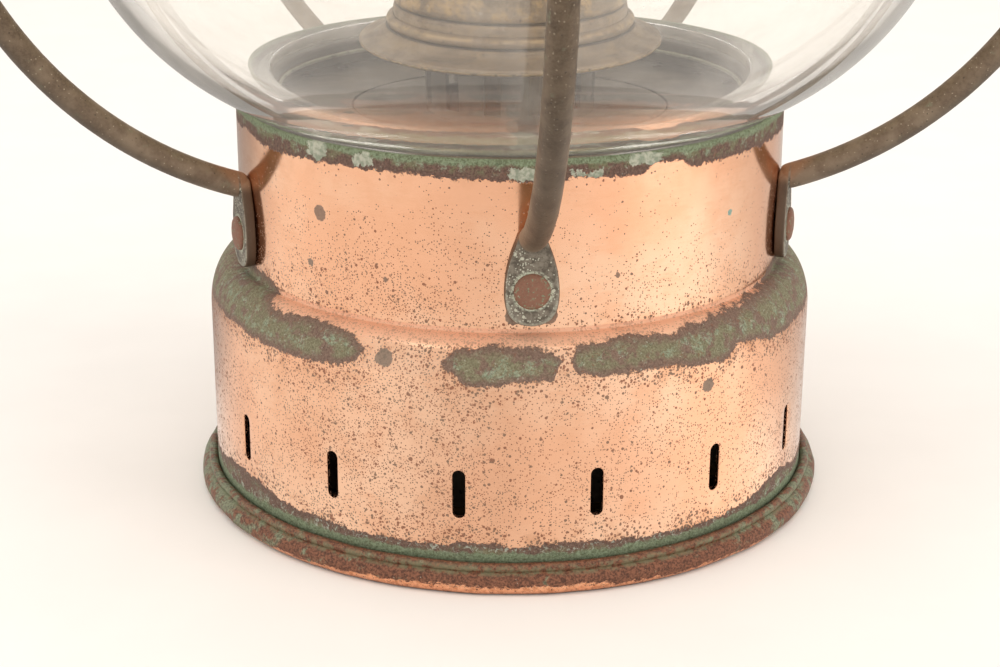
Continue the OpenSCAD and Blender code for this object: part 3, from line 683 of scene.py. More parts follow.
def plate_metal(name):
    """The dull tinned plates inside the neck, dusty and speckled."""
    g = Graph(name)
    grain = g.noise(0.9, 4, 0.7, 41)
    cloud = g.noise(8.0, 4, 0.6, 42)
    col = g.mix(g.step(cloud, 0.35, 0.68), (0.090, 0.072, 0.054), (0.160, 0.130, 0.100))
    col = g.mix(g.mul(grain, 0.35), col, (0.22, 0.19, 0.155))
    dots = specks(g, 2.2, 0.34, 0.22, 43)
    col = g.mix(g.mul(dots, 0.5), col, (0.42, 0.38, 0.31))
    dark = specks(g, 2.6, 0.45, 0.28, 44)
    col = g.mix(g.mul(dark, 0.6), col, (0.05, 0.045, 0.04))
    height = g.add(g.mul(grain, 0.05), g.mul(cloud, 0.25))
    return g.done(g.shade(col, g.add(0.42, g.mul(grain, 0.2)), 0.45, height))


def seat_metal(name):
    """The ledge under the globe: sooty, with a pale dusty line on its inner edge."""
    g = Graph(name)
    grain = g.noise(0.7, 4, 0.7, 46)
    r = g.vec("LENGTH", g.vec("MULTIPLY", g.p, (1, 1, 0)))
    col = g.mix(g.step(grain, 0.38, 0.62), (0.060, 0.047, 0.035), (0.135, 0.110, 0.085))
    edge = g.mul(g.step(r, 61.3, 60.7), g.step(g.noise(2.5, 3, 0.6, 47), 0.34, 0.5, 0.35, 1.0))
    col = g.mix(g.mul(edge, 0.8), col, (0.42, 0.42, 0.31))
    return g.done(g.shade(col, g.add(0.5, g.mul(grain, 0.2)), 0.2, g.mul(grain, 0.08)))


def burner_brass(name):
    """The burner's spun brass: brown and dusty, with gold on the edges and the drum, partly rubbed brass and partly
    painted highlight, and painted shade in the grooves.
    """
    g = Graph(name)
    r = g.vec("LENGTH", g.vec("MULTIPLY", g.p, (1, 1, 0)))
    cloud = g.noise(9.0, 4, 0.65, 24)
    grain = g.noise(0.7, 4, 0.7, 25)
    lines = g.noise(4.0, 3, 0.6, 26, stretch=(0.2, 0.2, 7))
    col = g.mix(g.step(cloud, 0.38, 0.62), (0.165, 0.118, 0.078), (0.26, 0.195, 0.135))
    col = g.mix(g.mul(g.step(lines, 0.40, 0.62), 0.35), col, (0.33, 0.24, 0.14))
    # gold patches, strongest on the drum: partly brass rubbed bright, partly painted highlight
    gold = g.mul(g.step(g.z, 121.5, 125.0, 0.35, 1.0), g.step(g.noise(6.0, 4, 0.65, 27), 0.46, 0.60))
    gold = g.mul(gold, g.step(grain, 0.3, 0.55))
    col = g.mix(g.mul(gold, 0.65), col, (0.50, 0.335, 0.155))
    # a gold line on the flange's lower lip and a fainter one on the bead: partly rubbed edges, partly painted highlight
    lip = g.mul(g.step(g.z, 111.95, 112.25), g.step(g.z, 113.0, 112.6), g.step(r, 38.0, 38.35))
    bead = g.mul(g.step(g.z, 118.4, 118.9), g.step(g.z, 119.8, 119.2), 0.25)
    rub = g.mul(g.high(lip, bead), g.step(g.noise(3.2, 4, 0.7, 28), 0.38, 0.54))
    col = g.mix(g.mul(rub, 0.85), col, (0.80, 0.56, 0.27))
    # painted shade: the two grooves are darkened to near black
    groove_shade = g.high(g.mul(g.step(g.z, 116.5, 116.85), g.step(g.z, 117.4, 117.0)), g.mul(g.step(g.z, 122.2, 122.7), g.step(g.z, 123.4, 123.0)))
    col = g.mix(g.mul(groove_shade, 0.8), col, (0.03, 0.02, 0.012))
    dark = specks(g, 1.5, 0.34, 0.6, 29)
    col = g.mix(g.mul(dark, 0.55), col, (0.08, 0.055, 0.035))
    pale = g.step(g.noise(1.6, 3, 0.6, 30), 0.66, 0.72)
    col = g.mix(g.mul(pale, 0.5), col, (0.44, 0.39, 0.31))
    rough = g.sub(g.add(0.42, g.mul(grain, 0.18)), g.mul(g.high(gold, rub), 0.14))
    metal = g.add(0.55, g.mul(g.high(gold, rub), 0.4))
    height = g.add(g.mul(lines, 0.006), g.mul(grain, 0.018), g.mul(g.noise(8.0, 2, 0.5, 31), 0.03))
    return g.done(g.shade(col, rough, metal, height))


def rivet_metal(name):
    g = Graph(name)
    grain = g.noise(0.55, 4, 0.7, 61)
    col = g.mix(grain, (0.12, 0.045, 0.027), (0.33, 0.165, 0.105))
    col = g.mix(g.mul(g.step(g.noise(0.9, 3, 0.7, 62), 0.56, 0.64), 0.8), col, (0.19, 0.26, 0.16))
    dots = specks(g, 0.8, 0.16, 0.35, 63)
    col = g.mix(g.mul(dots, 0.7), col, (0.42, 0.42, 0.31))
    height = g.add(g.mul(grain, 0.10), g.mul(dots, 0.04))
    return g.done(g.shade(col, g.add(0.45, g.mul(grain, 0.3)), 0.3, height))


def felt(name):
    g = Graph(name)
    fibre = g.noise(0.35, 4, 0.7, 71, stretch=(1, 1, 0.4), distort=1.5)
    cloud = g.noise(4.0, 3, 0.6, 72)
    col = g.mix(fibre, (0.030, 0.026, 0.022), (0.14, 0.12, 0.10))
    col = g.mix(g.mul(cloud, 0.5), col, (0.11, 0.095, 0.075))
    return g.done(g.shade(col, 0.95, 0.0, g.mul(fibre, 0.16), Sheen_Weight=0.35, Sheen_Roughness=0.5))


def cotton(name):
    """Woven wick: a plain weave wrapped round the tube, charred at the top."""
    g = Graph(name)
    around = g.mul(g.turn, TAU * 9.5)
    warp = g.math("ABSOLUTE", g.math("SINE", g.mul(around, 3.0)))
    weft = g.math("ABSOLUTE", g.math("SINE", g.add(g.mul(g.z, 3.6), g.mul(g.math("SIGN", g.math("SINE", g.mul(around, 3.0))), 1.57))))
    weave = g.mul(warp, weft)
    col = g.mix(g.mul(weave, 0.8), (0.36, 0.31, 0.23), (0.76, 0.70, 0.58))
    char = g.step(g.add(g.z, g.mul(g.noise(1.5, 3, 0.6, 81), 3.0)), 160.5, 163.2)
    col = g.mix(char, col, (0.012, 0.010, 0.009))
    return g.done(g.shade(col, 0.9, 0.0, g.mul(weave, 0.14), Sheen_Weight=0.2))


def glass(name, tint, seed, dust, wave=0.0):
    """Clear blown glass with dust and smears; shadow rays pass straight through, as real glass lights its inside."""
    g = Graph(name)
    height = g.add(g.mul(g.noise(26.0, 2, 0.5, seed + 1), wave), g.mul(g.noise(60.0, 1, 0.5, seed + 4), wave * 3))
    clear = g.shade(tint, 0.0, 0.0, height, Transmission_Weight=1.0, IOR=1.5)
    smear = g.step(g.noise(18.0, 4, 0.65, seed + 2, stretch=(1, 1, 0.5)), 0.40, 0.72)
    dots = g.mul(specks(g, 2.4, 0.22, 0.26, seed + 3), 0.5)
    film = g.shade((0.90, 0.86, 0.80), 0.8, 0.0)
    amount = g.math("MINIMUM", g.add(g.mul(smear, dust), dust * 0.5, g.mul(dots, 0.35)), 0.9)
    both = g.new("ShaderNodeMixShader")
    g.put(both.inputs[0], amount)
    g.link(clear, both.inputs[1])
    g.link(film, both.inputs[2])
    through = g.new("ShaderNodeBsdfTransparent")
    through.inputs[0].default_value = (*(c * 0.97 for c in tint), 1)
    ray = g.new("ShaderNodeLightPath")
    last = g.new("ShaderNodeMixShader")
    g.put(last.inputs[0], g.high(ray.outputs["Is Shadow Ray"], ray.outputs["Is Diffuse Ray"]))
    g.link(both.outputs[0], last.inputs[1])
    g.link(through.outputs[0], last.inputs[2])
    return g.done(last.outputs[0])


# heights of the patina's edges on the base, by azimuth
SHOULDER_LOW = [(-165, 51.5), (-140, 53), (-118, 50.5), (-96, 52), (-75, 52.8), (-60, 52.3), (-48, 51.6), (-38, 51.8),
                (-31, 54.2), (-27, 58.2), (-20, 59.0), (-16, 56.2), (-12, 52.6), (-9, 50.6), (-3, 52.4), (3, 52.6), (5.4, 54.6),
                (6.3, 57.5), (7.4, 54.2), (12, 52.8), (22, 52.8), (30, 51.8), (38, 51.0), (41, 53.6), (52, 51.4),
                (66, 51.5), (84, 52.4), (105, 51), (126, 54), (150, 52)]
SHOULDER_HIGH = [(-165, 60.5), (-140, 58.5), (-118, 61), (-96, 62.0), (-80, 63.2), (-66, 64.2), (-57, 62.0), (-49, 59.6), (-45, 60.6),
                 (-40, 60.3), (-35, 59.7), (-30.5, 57.9), (-27, 55.5), (-20, 54.0), (-16, 55.2), (-11, 59.2), (-6, 59.7),
                 (0, 59.3), (5.4, 57.9), (6.3, 55.6), (7.6, 58.6), (13, 60.1), (20, 60.5), (27, 59.3), (31, 60.3), (42, 60.9),
                 (54, 61.2), (62, 62.2), (70, 64.4), (84, 62.8), (105, 62.0), (126, 58), (150, 61)]
FOOT_HIGH = [(-150, 12.0), (-110, 13.5), (-79, 12.0), (-64, 14.6), (-55, 14.0), (-47, 12.1), (-37, 11.7), (-25, 10.8),
             (-15, 11.1), (-7, 11.8), (-2, 10.7), (4, 11.5), (15, 11.5), (21, 10.5), (31, 10.3), (42, 10.8), (49, 12.1),
             (57, 13.8), (69, 11.3), (95, 12.5), (130, 11.2), (160, 13)]
RIM_LOW = [(-160, 97.0), (-120, 98.2), (-82, 97.8), (-68, 98.4), (-59, 97.2), (-45, 97.6), (-30, 97.9), (-16, 97.8),
           (-1, 97.3), (12, 97.9), (20, 97.2), (24, 98.6), (28, 99.8), (32, 98.9), (34, 97.3), (46, 97.4), (60, 96.9),
           (75, 97.1), (110, 98.0), (150, 97.2)]

def base_pits(g):
    """The drum is pitted all over, the neck mostly low down and left of the front."""
    up = g.step(g.z, 60.0, 84.0, 1.0, 0.25)
    left = g.round_curve([(-75, 0.0), (-55, 0.3), (-42, 0.65), (-20, 0.85), (-4, 0.45), (10, 0.15), (60, 0.12), (120, 0.3)], 0, 1)
    return g.add(up, g.mul(left, g.step(g.z, 96.0, 78.0)))


copper_base = copper("copper_base", [(SHOULDER_LOW, SHOULDER_HIGH, 0.85, 0.60), (2.0, FOOT_HIGH, 0.60, 0.25), (RIM_LOW, 110.0, 0.65, 0.10)],
                     shine=0.10, pits=0.75, seed=1.0, pit_curve=base_pits, crease=61.9, damp=(9.2, 101.0),
                     sides=[(-150, 0.7), (-100, 0.9), (-80, 0.75), (-66, 0.4), (-52, 0.12), (-30, 0.1), (-12, 0.25), (5, 0.1), (45, 0.0), (62, 0.3),
                            (80, 0.5), (110, 0.8), (150, 0.6)],
                     spots=[(-43.0, 85.3, 1.9, 0.0), (-45.9, 72.5, 1.0, 0.1), (17.6, 74.0, 0.6, 0.0), (33.6, 45.9, 1.7, 0.1),
                            (45.3, 83.6, 0.8, 1.0), (-25.5, 56.3, 2.6, 0.1), (-27.7, 72.1, 0.6, 0.0),
                            (-2.6, 65.5, 2.1, 0.1), (4.0, 65.6, 2.2, 0.0), (0.8, 65.0, 2.0, 0.0), (118, 80.0, 1.6, 0.0), (-130, 77.0, 1.3, 0.3), (160, 40.0, 1.9, 0.0), (-101, 38.0, 1.5, 0.2)],
                     flakes=[(-46.5, -40.5, 98.2, 103), (-34, -29.5, 98.6, 101.4), (-3.6, 1.0, 97.9, 100.8),
                             (8.0, 14.0, 97.7, 99.4), (19.5, 27.0, 99.5, 102.2), (101, 107, 98.2, 101.5)])
copper_top = copper("copper_top", [(279.0, [(-120, 283), (-40, 282.4), (30, 283.2), (120, 282.5)], 0.5, 0.4),
                                   ([(-120, 308.8), (0, 309.5), (110, 308.4)], 312.5, 0.6, 0.2)],
                    shine=0.14, pits=0.26, seed=4.0)
copper_hood = copper("copper_hood", [([(-90, 317), (0, 318), (90, 316.5)], [(-120, 322.5), (-30, 324), (60, 322), (150, 325)], 0.7, 0.6),
                                     ([(-60, 340), (60, 338.5)], 400.0, 0.5, 0.2)],
                     shine=0.15, pits=0.28, seed=7.0)
copper_cap = copper("copper_cap", [(350.0, [(-140, 367.5), (-60, 369.5), (20, 367), (110, 370)], 0.8, 0.6),
                                   ([(-90, 384.8), (90, 385.2)], 400.0, 0.5, 0.4)], shine=0.15, pits=0.3, seed=9.0)
copper_vent = copper("copper_vent", [(330.0, [(-90, 346), (40, 345), (130, 347)], 0.6, 0.2)], shine=0.2, pits=0.35, seed=11.0, age=0.1)
foot_mat = foot_metal("foot_patina")
rod_mat = bronze("bronze_bar")
rivet_mat = rivet_metal("rivet_copper_aged")
plate_mat = plate_metal("tinned_plate")
brown_mat = brass("copper_browned", (0.34, 0.165, 0.10), (0.20, 0.098, 0.06), (0.09, 0.06, 0.042), 0.36, 21.0, 0.7)
burner_mat = burner_brass("burner_brass_aged")
seat_mat = seat_metal("seat_sooty")
# painted shade: the font body, font collar, filler cap and burner base get a dark brown-grey brass standing in for the
# shade inside the neck, under the plate and the flange
shaded_brass_mat = brass("font_top_painted_shade", (0.16, 0.135, 0.105), (0.11, 0.092, 0.072), (0.07, 0.058, 0.045), 0.5, 33.0, 0.35)
font_mat = brass("font_brass_aged", (0.62, 0.44, 0.20), (0.42, 0.29, 0.13), (0.17, 0.10, 0.05), 0.28, 25.0, 0.95)
fitting_mat = brass("fitting_brass_aged", (0.66, 0.46, 0.20), (0.40, 0.27, 0.12), (0.15, 0.10, 0.055), 0.26, 27.0, 0.95)
bail_mat = brass("bail_bronze_aged", (0.23, 0.155, 0.095), (0.14, 0.095, 0.06), (0.07, 0.052, 0.036), 0.42, 29.0, 0.5)
felt_mat = felt("grey_felt")
wick_mat = cotton("woven_cotton")
globe_mat = glass("globe_clear", (0.995, 0.985, 0.962), 91.0, 0.085, 0.012)
chimney_mat = glass("chimney_clear", (0.985, 0.99, 0.985), 95.0, 0.04, 0.008)


# ---------------------------------------------------------------- base

R_DRUM, R_DRUM_IN, R_NECK, R_NECK_IN, RIM_Z = 78.0, 76.8, 69.6, 68.4, 102.4
SLOT_Z0, SLOT_Z1 = 14.0, 34.0


def base_shell():
    """Drum, shoulder and neck as one sheet; the zone of the slots is a pierced band."""
    up = [(R_DRUM, z) for z in (34, 37, 40, 43, 46)]
    up += arc(70.2, 49.1, 7.8, 0, 87, 22, 12.2)
    up += [(69.95, 61.31), (69.72, 61.42), (69.62, 61.7), (R_NECK, 62.2), (R_NECK, 63.2)]
    up += [(R_NECK, z) for z in np.linspace(65, 100, 15)]
    up += [(R_NECK, 101.7), (69.5, 102.1), (69.25, 102.36), (69.0, RIM_Z), (68.8, RIM_Z), (68.55, 102.3), (R_NECK_IN, 102.0)]
    down = [(R_NECK_IN, z) for z in np.linspace(100, 66, 12)] + [(R_NECK_IN, 62.4), (68.7, 61.2)]
    down += arc(70.2, 49.1, 6.6, 84, 0, 14, 11.0) + [(R_DRUM_IN, 44), (R_DRUM_IN, 39), (R_DRUM_IN, 34)]
    low = [(R_DRUM_IN, 14), (R_DRUM_IN, 10), (R_DRUM_IN, 6.1), (77.0, 5.8), (77.8, 5.8), (R_DRUM, 6.0), (R_DRUM, 8.5), (R_DRUM, 11), (R_DRUM, 14)]
    parts = [pierced(R_DRUM, R_DRUM_IN, SLOT_Z0, SLOT_Z1, 15, 12, 3.0, 12.0, 24.0),
             lathe(up + down, 240, closed=False), lathe(low, 240, closed=False)]
    build("base_body", parts, "lantern", copper_base, ["base_shell"],
          ripple=hammered(0.16, 34.0, 5.0, 0.035, 11.0), sharp=50)


def foot_ring():
    bead = arc(79.4, 2.65, 2.9, 142.9, 246, 12) + arc(79.4, 2.65, 2.9, 294, 436, 22)
    outline = bead + [(80.25, 5.75), (80.42, 6.3), (80.3, 6.9), (79.9, 7.3), (79.35, 7.4), (78.7, 7.25), (78.25, 6.8), (78.06, 6.2),
                      (78.0, 5.82), (76.6, 5.8), (76.6, 10.5), (76.3, 10.8), (75.7, 10.8), (75.4, 10.5), (75.4, 5.8),
                      (71.2, 5.8), (71.0, 5.6), (71.0, 4.6), (71.2, 4.4)]

    def wavy(p):
        q = hammered(0.22, 9.0, 2.0, 0.08, 2.5)(p)
        if p.z > 0.3:
            q.z += 0.12 * noise.noise(p / 8.0)
        r = math.hypot(q.x, q.y)
        if r > 82.28:
            q.x, q.y = q.x * 82.28 / r, q.y * 82.28 / r
        return q
    build("foot_bead", [lathe(outline, 360)], "lantern", foot_mat, ["foot_ring"], ripple=wavy, sharp=60)


def neck_inside():
    seat = rounded([(60.5, 96.4, 0.3), (67.2, 96.4), (67.2, 88, 0.2), (68.3, 88, 0.2), (68.3, 97, 0.3), (67.2, 97.6, 0.2), (60.5, 97.6, 0.4)])
    build("seat_ledge", [lathe(seat, 192)], "lantern", seat_mat, ["globe_seat"], ripple=hammered(0.05, 12.0, 3.0))
    ring = rounded([(61.5, 97.6, 0.5), (67.2, 97.6, 0.5), (67.2, 100.4, 1.1), (61.5, 100.4, 1.1)], 6)
    soft = build("globe_felt", [lathe(ring, 288)], "lantern", felt_mat, ["globe_cushion"],
                 ripple=hammered(0.10, 3.0, 1.0, 0.05, 1.0), sharp=80)


# ---------------------------------------------------------------- globe and chimney

def globe():
    """Blown globe, thicker towards its foot: the inner arc's centre is higher than the outer one's."""
    rho, rho_in, rise, low = 72.0, 69.7, 2.4, -69.4
    up_z = 168.3 + 119 * math.sin(math.radians(56.5))
    outer = arc(38.6, 168.3, rho, low, 0, 60) + arc(-8.4, 168.3, 119, 1.5, 56.5, 50)
    outer += [(53.6, up_z + 4.2), (53.0, up_z + 7.2), (52.8, up_z + 9.5), (52.8, 282)]
    lip = arc(51.4, 284.6, 1.4, 0, 180, 10)
    inner = [(50.0, 282), (50.0, up_z + 8.6), (50.3, up_z + 5.6), (51.2, up_z + 2.6)]
    inner += arc(-8.4, 168.3 + rise, 119 - 72 + rho_in, 55.6, 1.2, 50)
    inner += arc(38.6, 168.3 + rise, rho_in, 0, low, 60)
    a, b = np.array(outer[0]), np.array(inner[-1])
    mid, half = (a + b) / 2, (a - b) / 2
    along = np.array([half[1], -half[0]])
    along = along if along[0] < 0 else -along
    foot = [tuple(mid - half * math.cos(t) + along * math.sin(t) * 0.75) for t in np.linspace(0, math.pi, 14)[1:-1]]
    build("globe_glass", [lathe(outer + lip + inner + foot, 288)], "lantern", globe_mat, ["globe"],
          ripple=hammered(0.05, 45.0, 9.0), sharp=80)


def chimney():
    t = 1.6
    outer = [(25.4, z) for z in (153, 158, 163, 168)] + arc(40, 190, 17.2, 205, 165, 14)
    outer += [(21.9, 206), (21.2, 214), (20.5, 227), (20.0, 240), (20.0, 270), (20.0, 303.5)]
    inner = [(r - t, z) for r, z in reversed(outer)]
    lip = arc(20 - t / 2, 304.2, t / 2, 0, 180, 6)
    low = arc(25.4 - t / 2, 152.4, t / 2, 180, 360, 6)
    build("chimney_glass", [lathe(outer + lip + inner + low, 160)], "font_and_burner", chimney_mat, ["chimney"],
          ripple=hammered(0.04, 20.0, 4.0), sharp=80)


# ---------------------------------------------------------------- guard

def bar_path():
    """Centreline of a guard bar from its lower ear to its upper one, as (out, height)."""
    low = arc(38.3, 182.8, 103.65, -71.7, -68.97, 8)
    belly = arc(38.3, 182.8, 103.65, -68.97, 0, 40)[1:] + arc(45.95, 182.8, 96, 0, 76.55, 44)[1:]
    top = arc(69.675, 282.002, 6, 256.55, 180, 10)[1:] + [(63.675, z) for z in (282.8, 283.7, 284.6, 285.6)]
    return low + belly + top


LOW_EAR = [(-8.6, 0.0), (-8.45, 1.6), (-7.9, 3.3), (-7.0, 4.6), (-5.4, 5.65), (-3.0, 6.2), (-0.5, 6.35), (2.5, 6.15), (5.0, 5.75),
           (7.5, 5.1), (9.5, 4.4), (11.0, 3.8), (12.5, 3.3), (13.5, 2.7), (14.1, 1.8), (14.35, 0.0)]
TOP_EAR = [(-8.2, 0.0), (-8.0, 1.6), (-7.4, 3.3), (-6.4, 4.6), (-4.8, 5.6), (-2.8, 6.1), (-0.5, 6.2), (2.0, 5.9), (4.2, 5.3),
           (6.0, 4.6), (7.6, 3.9), (8.8, 3.0), (9.5, 1.8), (9.8, 0.0)]


def ear_plate(face, rivet_z, way, edge):
    """Egg-shaped ear forged at the end of a bar. edge lists (height from the rivet, half width); way is +1 where the
    bar goes up from it."""
    fine = []
    for i in range(len(edge) - 1):
        p0, p1, p2, p3 = (np.array(edge[min(max(k, 0), len(edge) - 1)]) for k in (i - 1, i, i + 1, i + 2))
        for t in (0.0, 0.5):
            fine.append(0.5 * (2 * p1 + (p2 - p0) * t + (2 * p0 - 5 * p1 + 4 * p2 - p3) * t * t + (3 * p1 - p0 - 3 * p2 + p3) * t ** 3))
    right = [(max(0.0, float(w)), float(h)) for h, w in fine[1:]]
    outline = [(0.0, edge[0][0])] + right + [(0.0, edge[-1][0])] + [(-w, h) for w, h in reversed(right)]
    outline = [(w, rivet_z + way * h) for w, h in outline]
    n = len(outline)
    levels = [(0.0, 0.3), (0.18, 0.05), (0.6, 0.0), (1.9, 0.0), (2.28, 0.10), (2.5, 0.32), (2.6, 0.7), (2.62, 1.8)]
    verts = []
    for depth, inset in levels:
        for w, z in outline:
            d = math.hypot(w, z - rivet_z)
            k = (d - inset) / d
            verts.append((w * k, -(face + depth), rivet_z + (z - rivet_z) * k))
    faces = quads(len(levels), n, True, False)
    faces += [tuple(range(n))[::-1], tuple(range((len(levels) - 1) * n, len(levels) * n))]
    return verts, faces


def guard():
    path = bar_path()
    radii = [3.175] * len(path)
    # the lower end is rounded over inside its ear, the upper one is a thumb on top of its own
    for i, k in enumerate((0.86, 0.95, 0.985)):
        radii[i] *= k
    for i, k in enumerate((0.45, 0.80, 0.96)):
        radii[-1 - i] *= k

    def forged(p):
        d = 0.07 * noise.noise(p / 5.0) + 0.05 * noise.noise(p / 14.0)
        return Vector((p.x * (1 + d / 3.2), p.y - d * 0.6, p.z))

    def beaten(p):
        return Vector((p.x, p.y - 0.05 * noise.noise(p / 2.2), p.z + 0.06 * noise.noise(p / 3)))
    bar = raw_mesh("bar", [sweep(path, radii)], ripple=forged)
    low = raw_mesh("ear_low", [ear_plate(69.75, 72.3, 1, LOW_EAR)], ripple=beaten)
    top = raw_mesh("ear_top", [ear_plate(60.15, 290.8, -1, TOP_EAR)])
    whole = joined("guard_bar", [bar, low, top])
    for k in range(5):
        mesh = whole.copy()
        mesh.transform(Matrix.Rotation(ROD_TURN + k * ROD_STEP, 4, "Z"))
        piece(f"guard_bar_{k + 1}", mesh, "lantern", rod_mat, [f"guard_rod_{k + 1}"], sharp=42)


def rivets(name, face, wall_in, z, node, tail_r):
    head = [(4.25, 0.0), (4.28, 0.25), (4.15, 0.62), (3.7, 0.98), (3.0, 1.2), (2.0, 1.36), (1.0, 1.44), (0.001, 1.46)]
    gap = face + 2.6 - wall_in
    tail = [(0.001, -gap), (tail_r - 0.8, -gap), (tail_r - 0.2, -gap + 0.15), (tail_r, -gap + 0.5), (tail_r, -gap + 1.1), (1.95, -gap + 1.15),
            (1.95, -0.01), (4.2, -0.01)]
    one = turned(lathe(tail + head, 40), "-y", (0, -(face + 2.6), z))
    parts = [spun(one, ROD_TURN + k * ROD_STEP) for k in range(5)]

    def worn(p):
        return p + Vector((0.05 * noise.noise(p / 1.6), 0.04 * noise.noise(p / 1.3 + Vector((5, 5, 5))), 0.05 * noise.noise(p / 1.9)))
    build(name, parts, "lantern", rivet_mat, [node], ripple=worn, sharp=60)


# ---------------------------------------------------------------- collar, bail and hood

def collar():
    wall = rounded([(58.4, 280, 0.4), (59.35, 280.0), (60.0, 282.0, 0.3), (60.0, 311, 0.35), (58.4, 311, 0.35), (58.4, 289), (44, 289, 0.4),
                    (44, 287.6, 0.4), (58.4, 287.6)], 3)
    bead = arc(59.35, 281, 1.0, -90, 60, 10)
    i = min(range(len(wall)), key=lambda k: abs(wall[k][0] - 59.35) + abs(wall[k][1] - 280))
    profile = wall[:i] + bead + [(60.0, 282.4)] + [p for p in wall[i + 1:] if not (p[0] > 59.9 and p[1] < 282.5)]
    shell = raw_mesh("collar", [lathe(profile, 256)], ripple=hammered(0.06, 25.0, 6.0))
    drill = [spun(lathe([(0.001, 282), (2.2, 282), (2.2, 295), (0.001, 295)], 24), 0)]
    holes = []
    for k in range(12):
        t = math.radians(15 + 30 * k)
        holes.append(([(x + 48 * math.sin(t), y - 48 * math.cos(t), z) for x, y, z in drill[0][0]], drill[0][1]))
    cut = joined("collar_band", [shell, raw_mesh("drills", holes)], "DIFFERENCE")
    piece("collar_band", cut, "lantern", copper_top, ["upper_collar"], sharp=40)
    ring = rounded([(49.6, 286.1, 0.4), (56, 286.1, 0.4), (56, 287.6, 0.4), (49.6, 287.6, 0.4)], 4)
    soft = build("top_felt", [lathe(ring, 288)], "lantern", felt_mat, ["top_cushion"],
                 ripple=hammered(0.08, 3.0, 2.0, 0.04, 1.0), sharp=80)
    stud = rounded([(0.001, 59.2), (6, 59.2), (6, 63.9, 0.8), (3.4, 64.4, 0.3), (3, 65.0, 0.2), (3, 70.4, 0.2), (4.9, 70.6, 0.3),
                    (5.4, 71.4, 0.7), (4.2, 72.5, 0.8), (0.001, 72.6)], 4)
    parts = [turned(lathe(stud, 64), side, (0, 0, 297)) for side in ("+x", "-x")]
    build("bail_pivots", parts, "lantern", fitting_mat, ["bail_studs"])


def bail():
    """Wire arms, a half-round grip and an eye at each end, drawn upright and laid back to its rest."""
    path = [(0.0, z) for z in (4.2, 8, 20, 40, 60, 80, 85.3)]
    wire = []
    n = 48
    line = [(-67.5, z) for _, z in path]
    line += [(-67.5 * math.cos(math.pi * i / n), 85.3 + 67.5 * math.sin(math.pi * i / n)) for i in range(1, n)]
    line += [(67.5, z) for _, z in reversed(path)]
    flat = sweep(line, 2.5, 24)
    wire = ([(-y, x, z) for x, y, z in flat[0]], flat[1])
    wire = ([(x, y, z) for x, y, z in wire[0]], wire[1])
    eye = rounded([(3.07, -2, 0.5), (6.4, -2, 1.0), (6.4, 2, 1.0), (3.07, 2, 0.5)], 4)
    eyes = [turned(lathe(eye, 56), "+x", (s * 67.5, 0, 0)) for s in (-1, 1)]
    whole = joined("bail_wire", [raw_mesh("w", [wire]), raw_mesh("e1", [eyes[0]]), raw_mesh("e2", [eyes[1]])])
    whole.transform(Matrix.Translation((0, 0, 0.297)) @ Matrix.Rotation(math.radians(-111), 4, "X"))
    piece("bail_wire", whole, "bail_body", bail_mat, ["bail"], sharp=40)


def hood():
    cone = [(57.7, 306.5), (57.7, 310.9), (58.0, 311.3), (59.7, 311.3), (60.0, 311.6), (60.0, 315), (60.0, 318.2)]
    cone += arc(59.7, 319.5, 1.0, -66, 74, 12)
    cone += arc(60, 343, 23.0, 262, 180, 36, 22.3) + [(37.0, 344.6), (36.7, 345.0), (36.3, 345.0), (36.0, 344.6)]
    cone += arc(60, 342, 24.0, 180, 262, 30, 21.3) + [(59.0, 318.6), (59.0, 312.3), (56.8, 312.3), (56.8, 306.5), (57.0, 306.3), (57.5, 306.3)]
    build("hood_shell", [lathe(cone, 256)], "hood", copper_hood, ["hood_cone"], ripple=hammered(0.08, 22.0, 12.0), sharp=50)
    tall = [(35.9, z) for z in (364, 368, 372, 375.4)] + [(35.7, 375.8), (35.1, 375.8), (34.9, 375.4), (34.9, 372), (34.9, 368), (34.9, 364)]
    short = [(34.9, 344), (34.9, 340.3), (35.1, 340.0), (35.7, 340.0), (35.9, 340.3), (35.9, 344)]
    parts = [pierced(35.9, 34.9, 344, 364, 18, 0, 3.6, 13.6, 354, nx=12, nz=12, rim=0.22), lathe(tall, 216, False), lathe(short, 216, False)]
    build("vent_band", parts, "hood", copper_vent, ["vent_ring"], sharp=50)
    top = arc(0, 365, 44.0, 89.9, 4, 44, 21.0) + [(44.3, 365.35), (45.2, 365.1), (46.3, 365.0), (46.9, 364.6), (47.0, 364.0), (47.0, 362.6),
                                                   (46.8, 362.1), (46.4, 362.0), (46.05, 362.3), (46.0, 363.6), (45.4, 364.2), (43.4, 364.9)]
    top += arc(0, 365, 43.0, 3, 89.9, 40, 19.8)
    build("vent_lid", [lathe(top, 256)], "hood", copper_cap, ["vent_cap"], ripple=hammered(0.10, 20.0, 14.0), sharp=50)
    knob = rounded([(0.001, 385.5), (7, 385.5, 0.3), (7, 387.6, 0.6), (5.0, 388.2, 0.5), (3.2, 388.9, 0.5), (3.0, 390.2, 0.4)], 4)
    knob += arc(0, 394.68, 5.0, -53, 89.9, 26)
    build("top_knob", [lathe(knob, 96)], "hood", fitting_mat, ["finial"])


# ---------------------------------------------------------------- burner

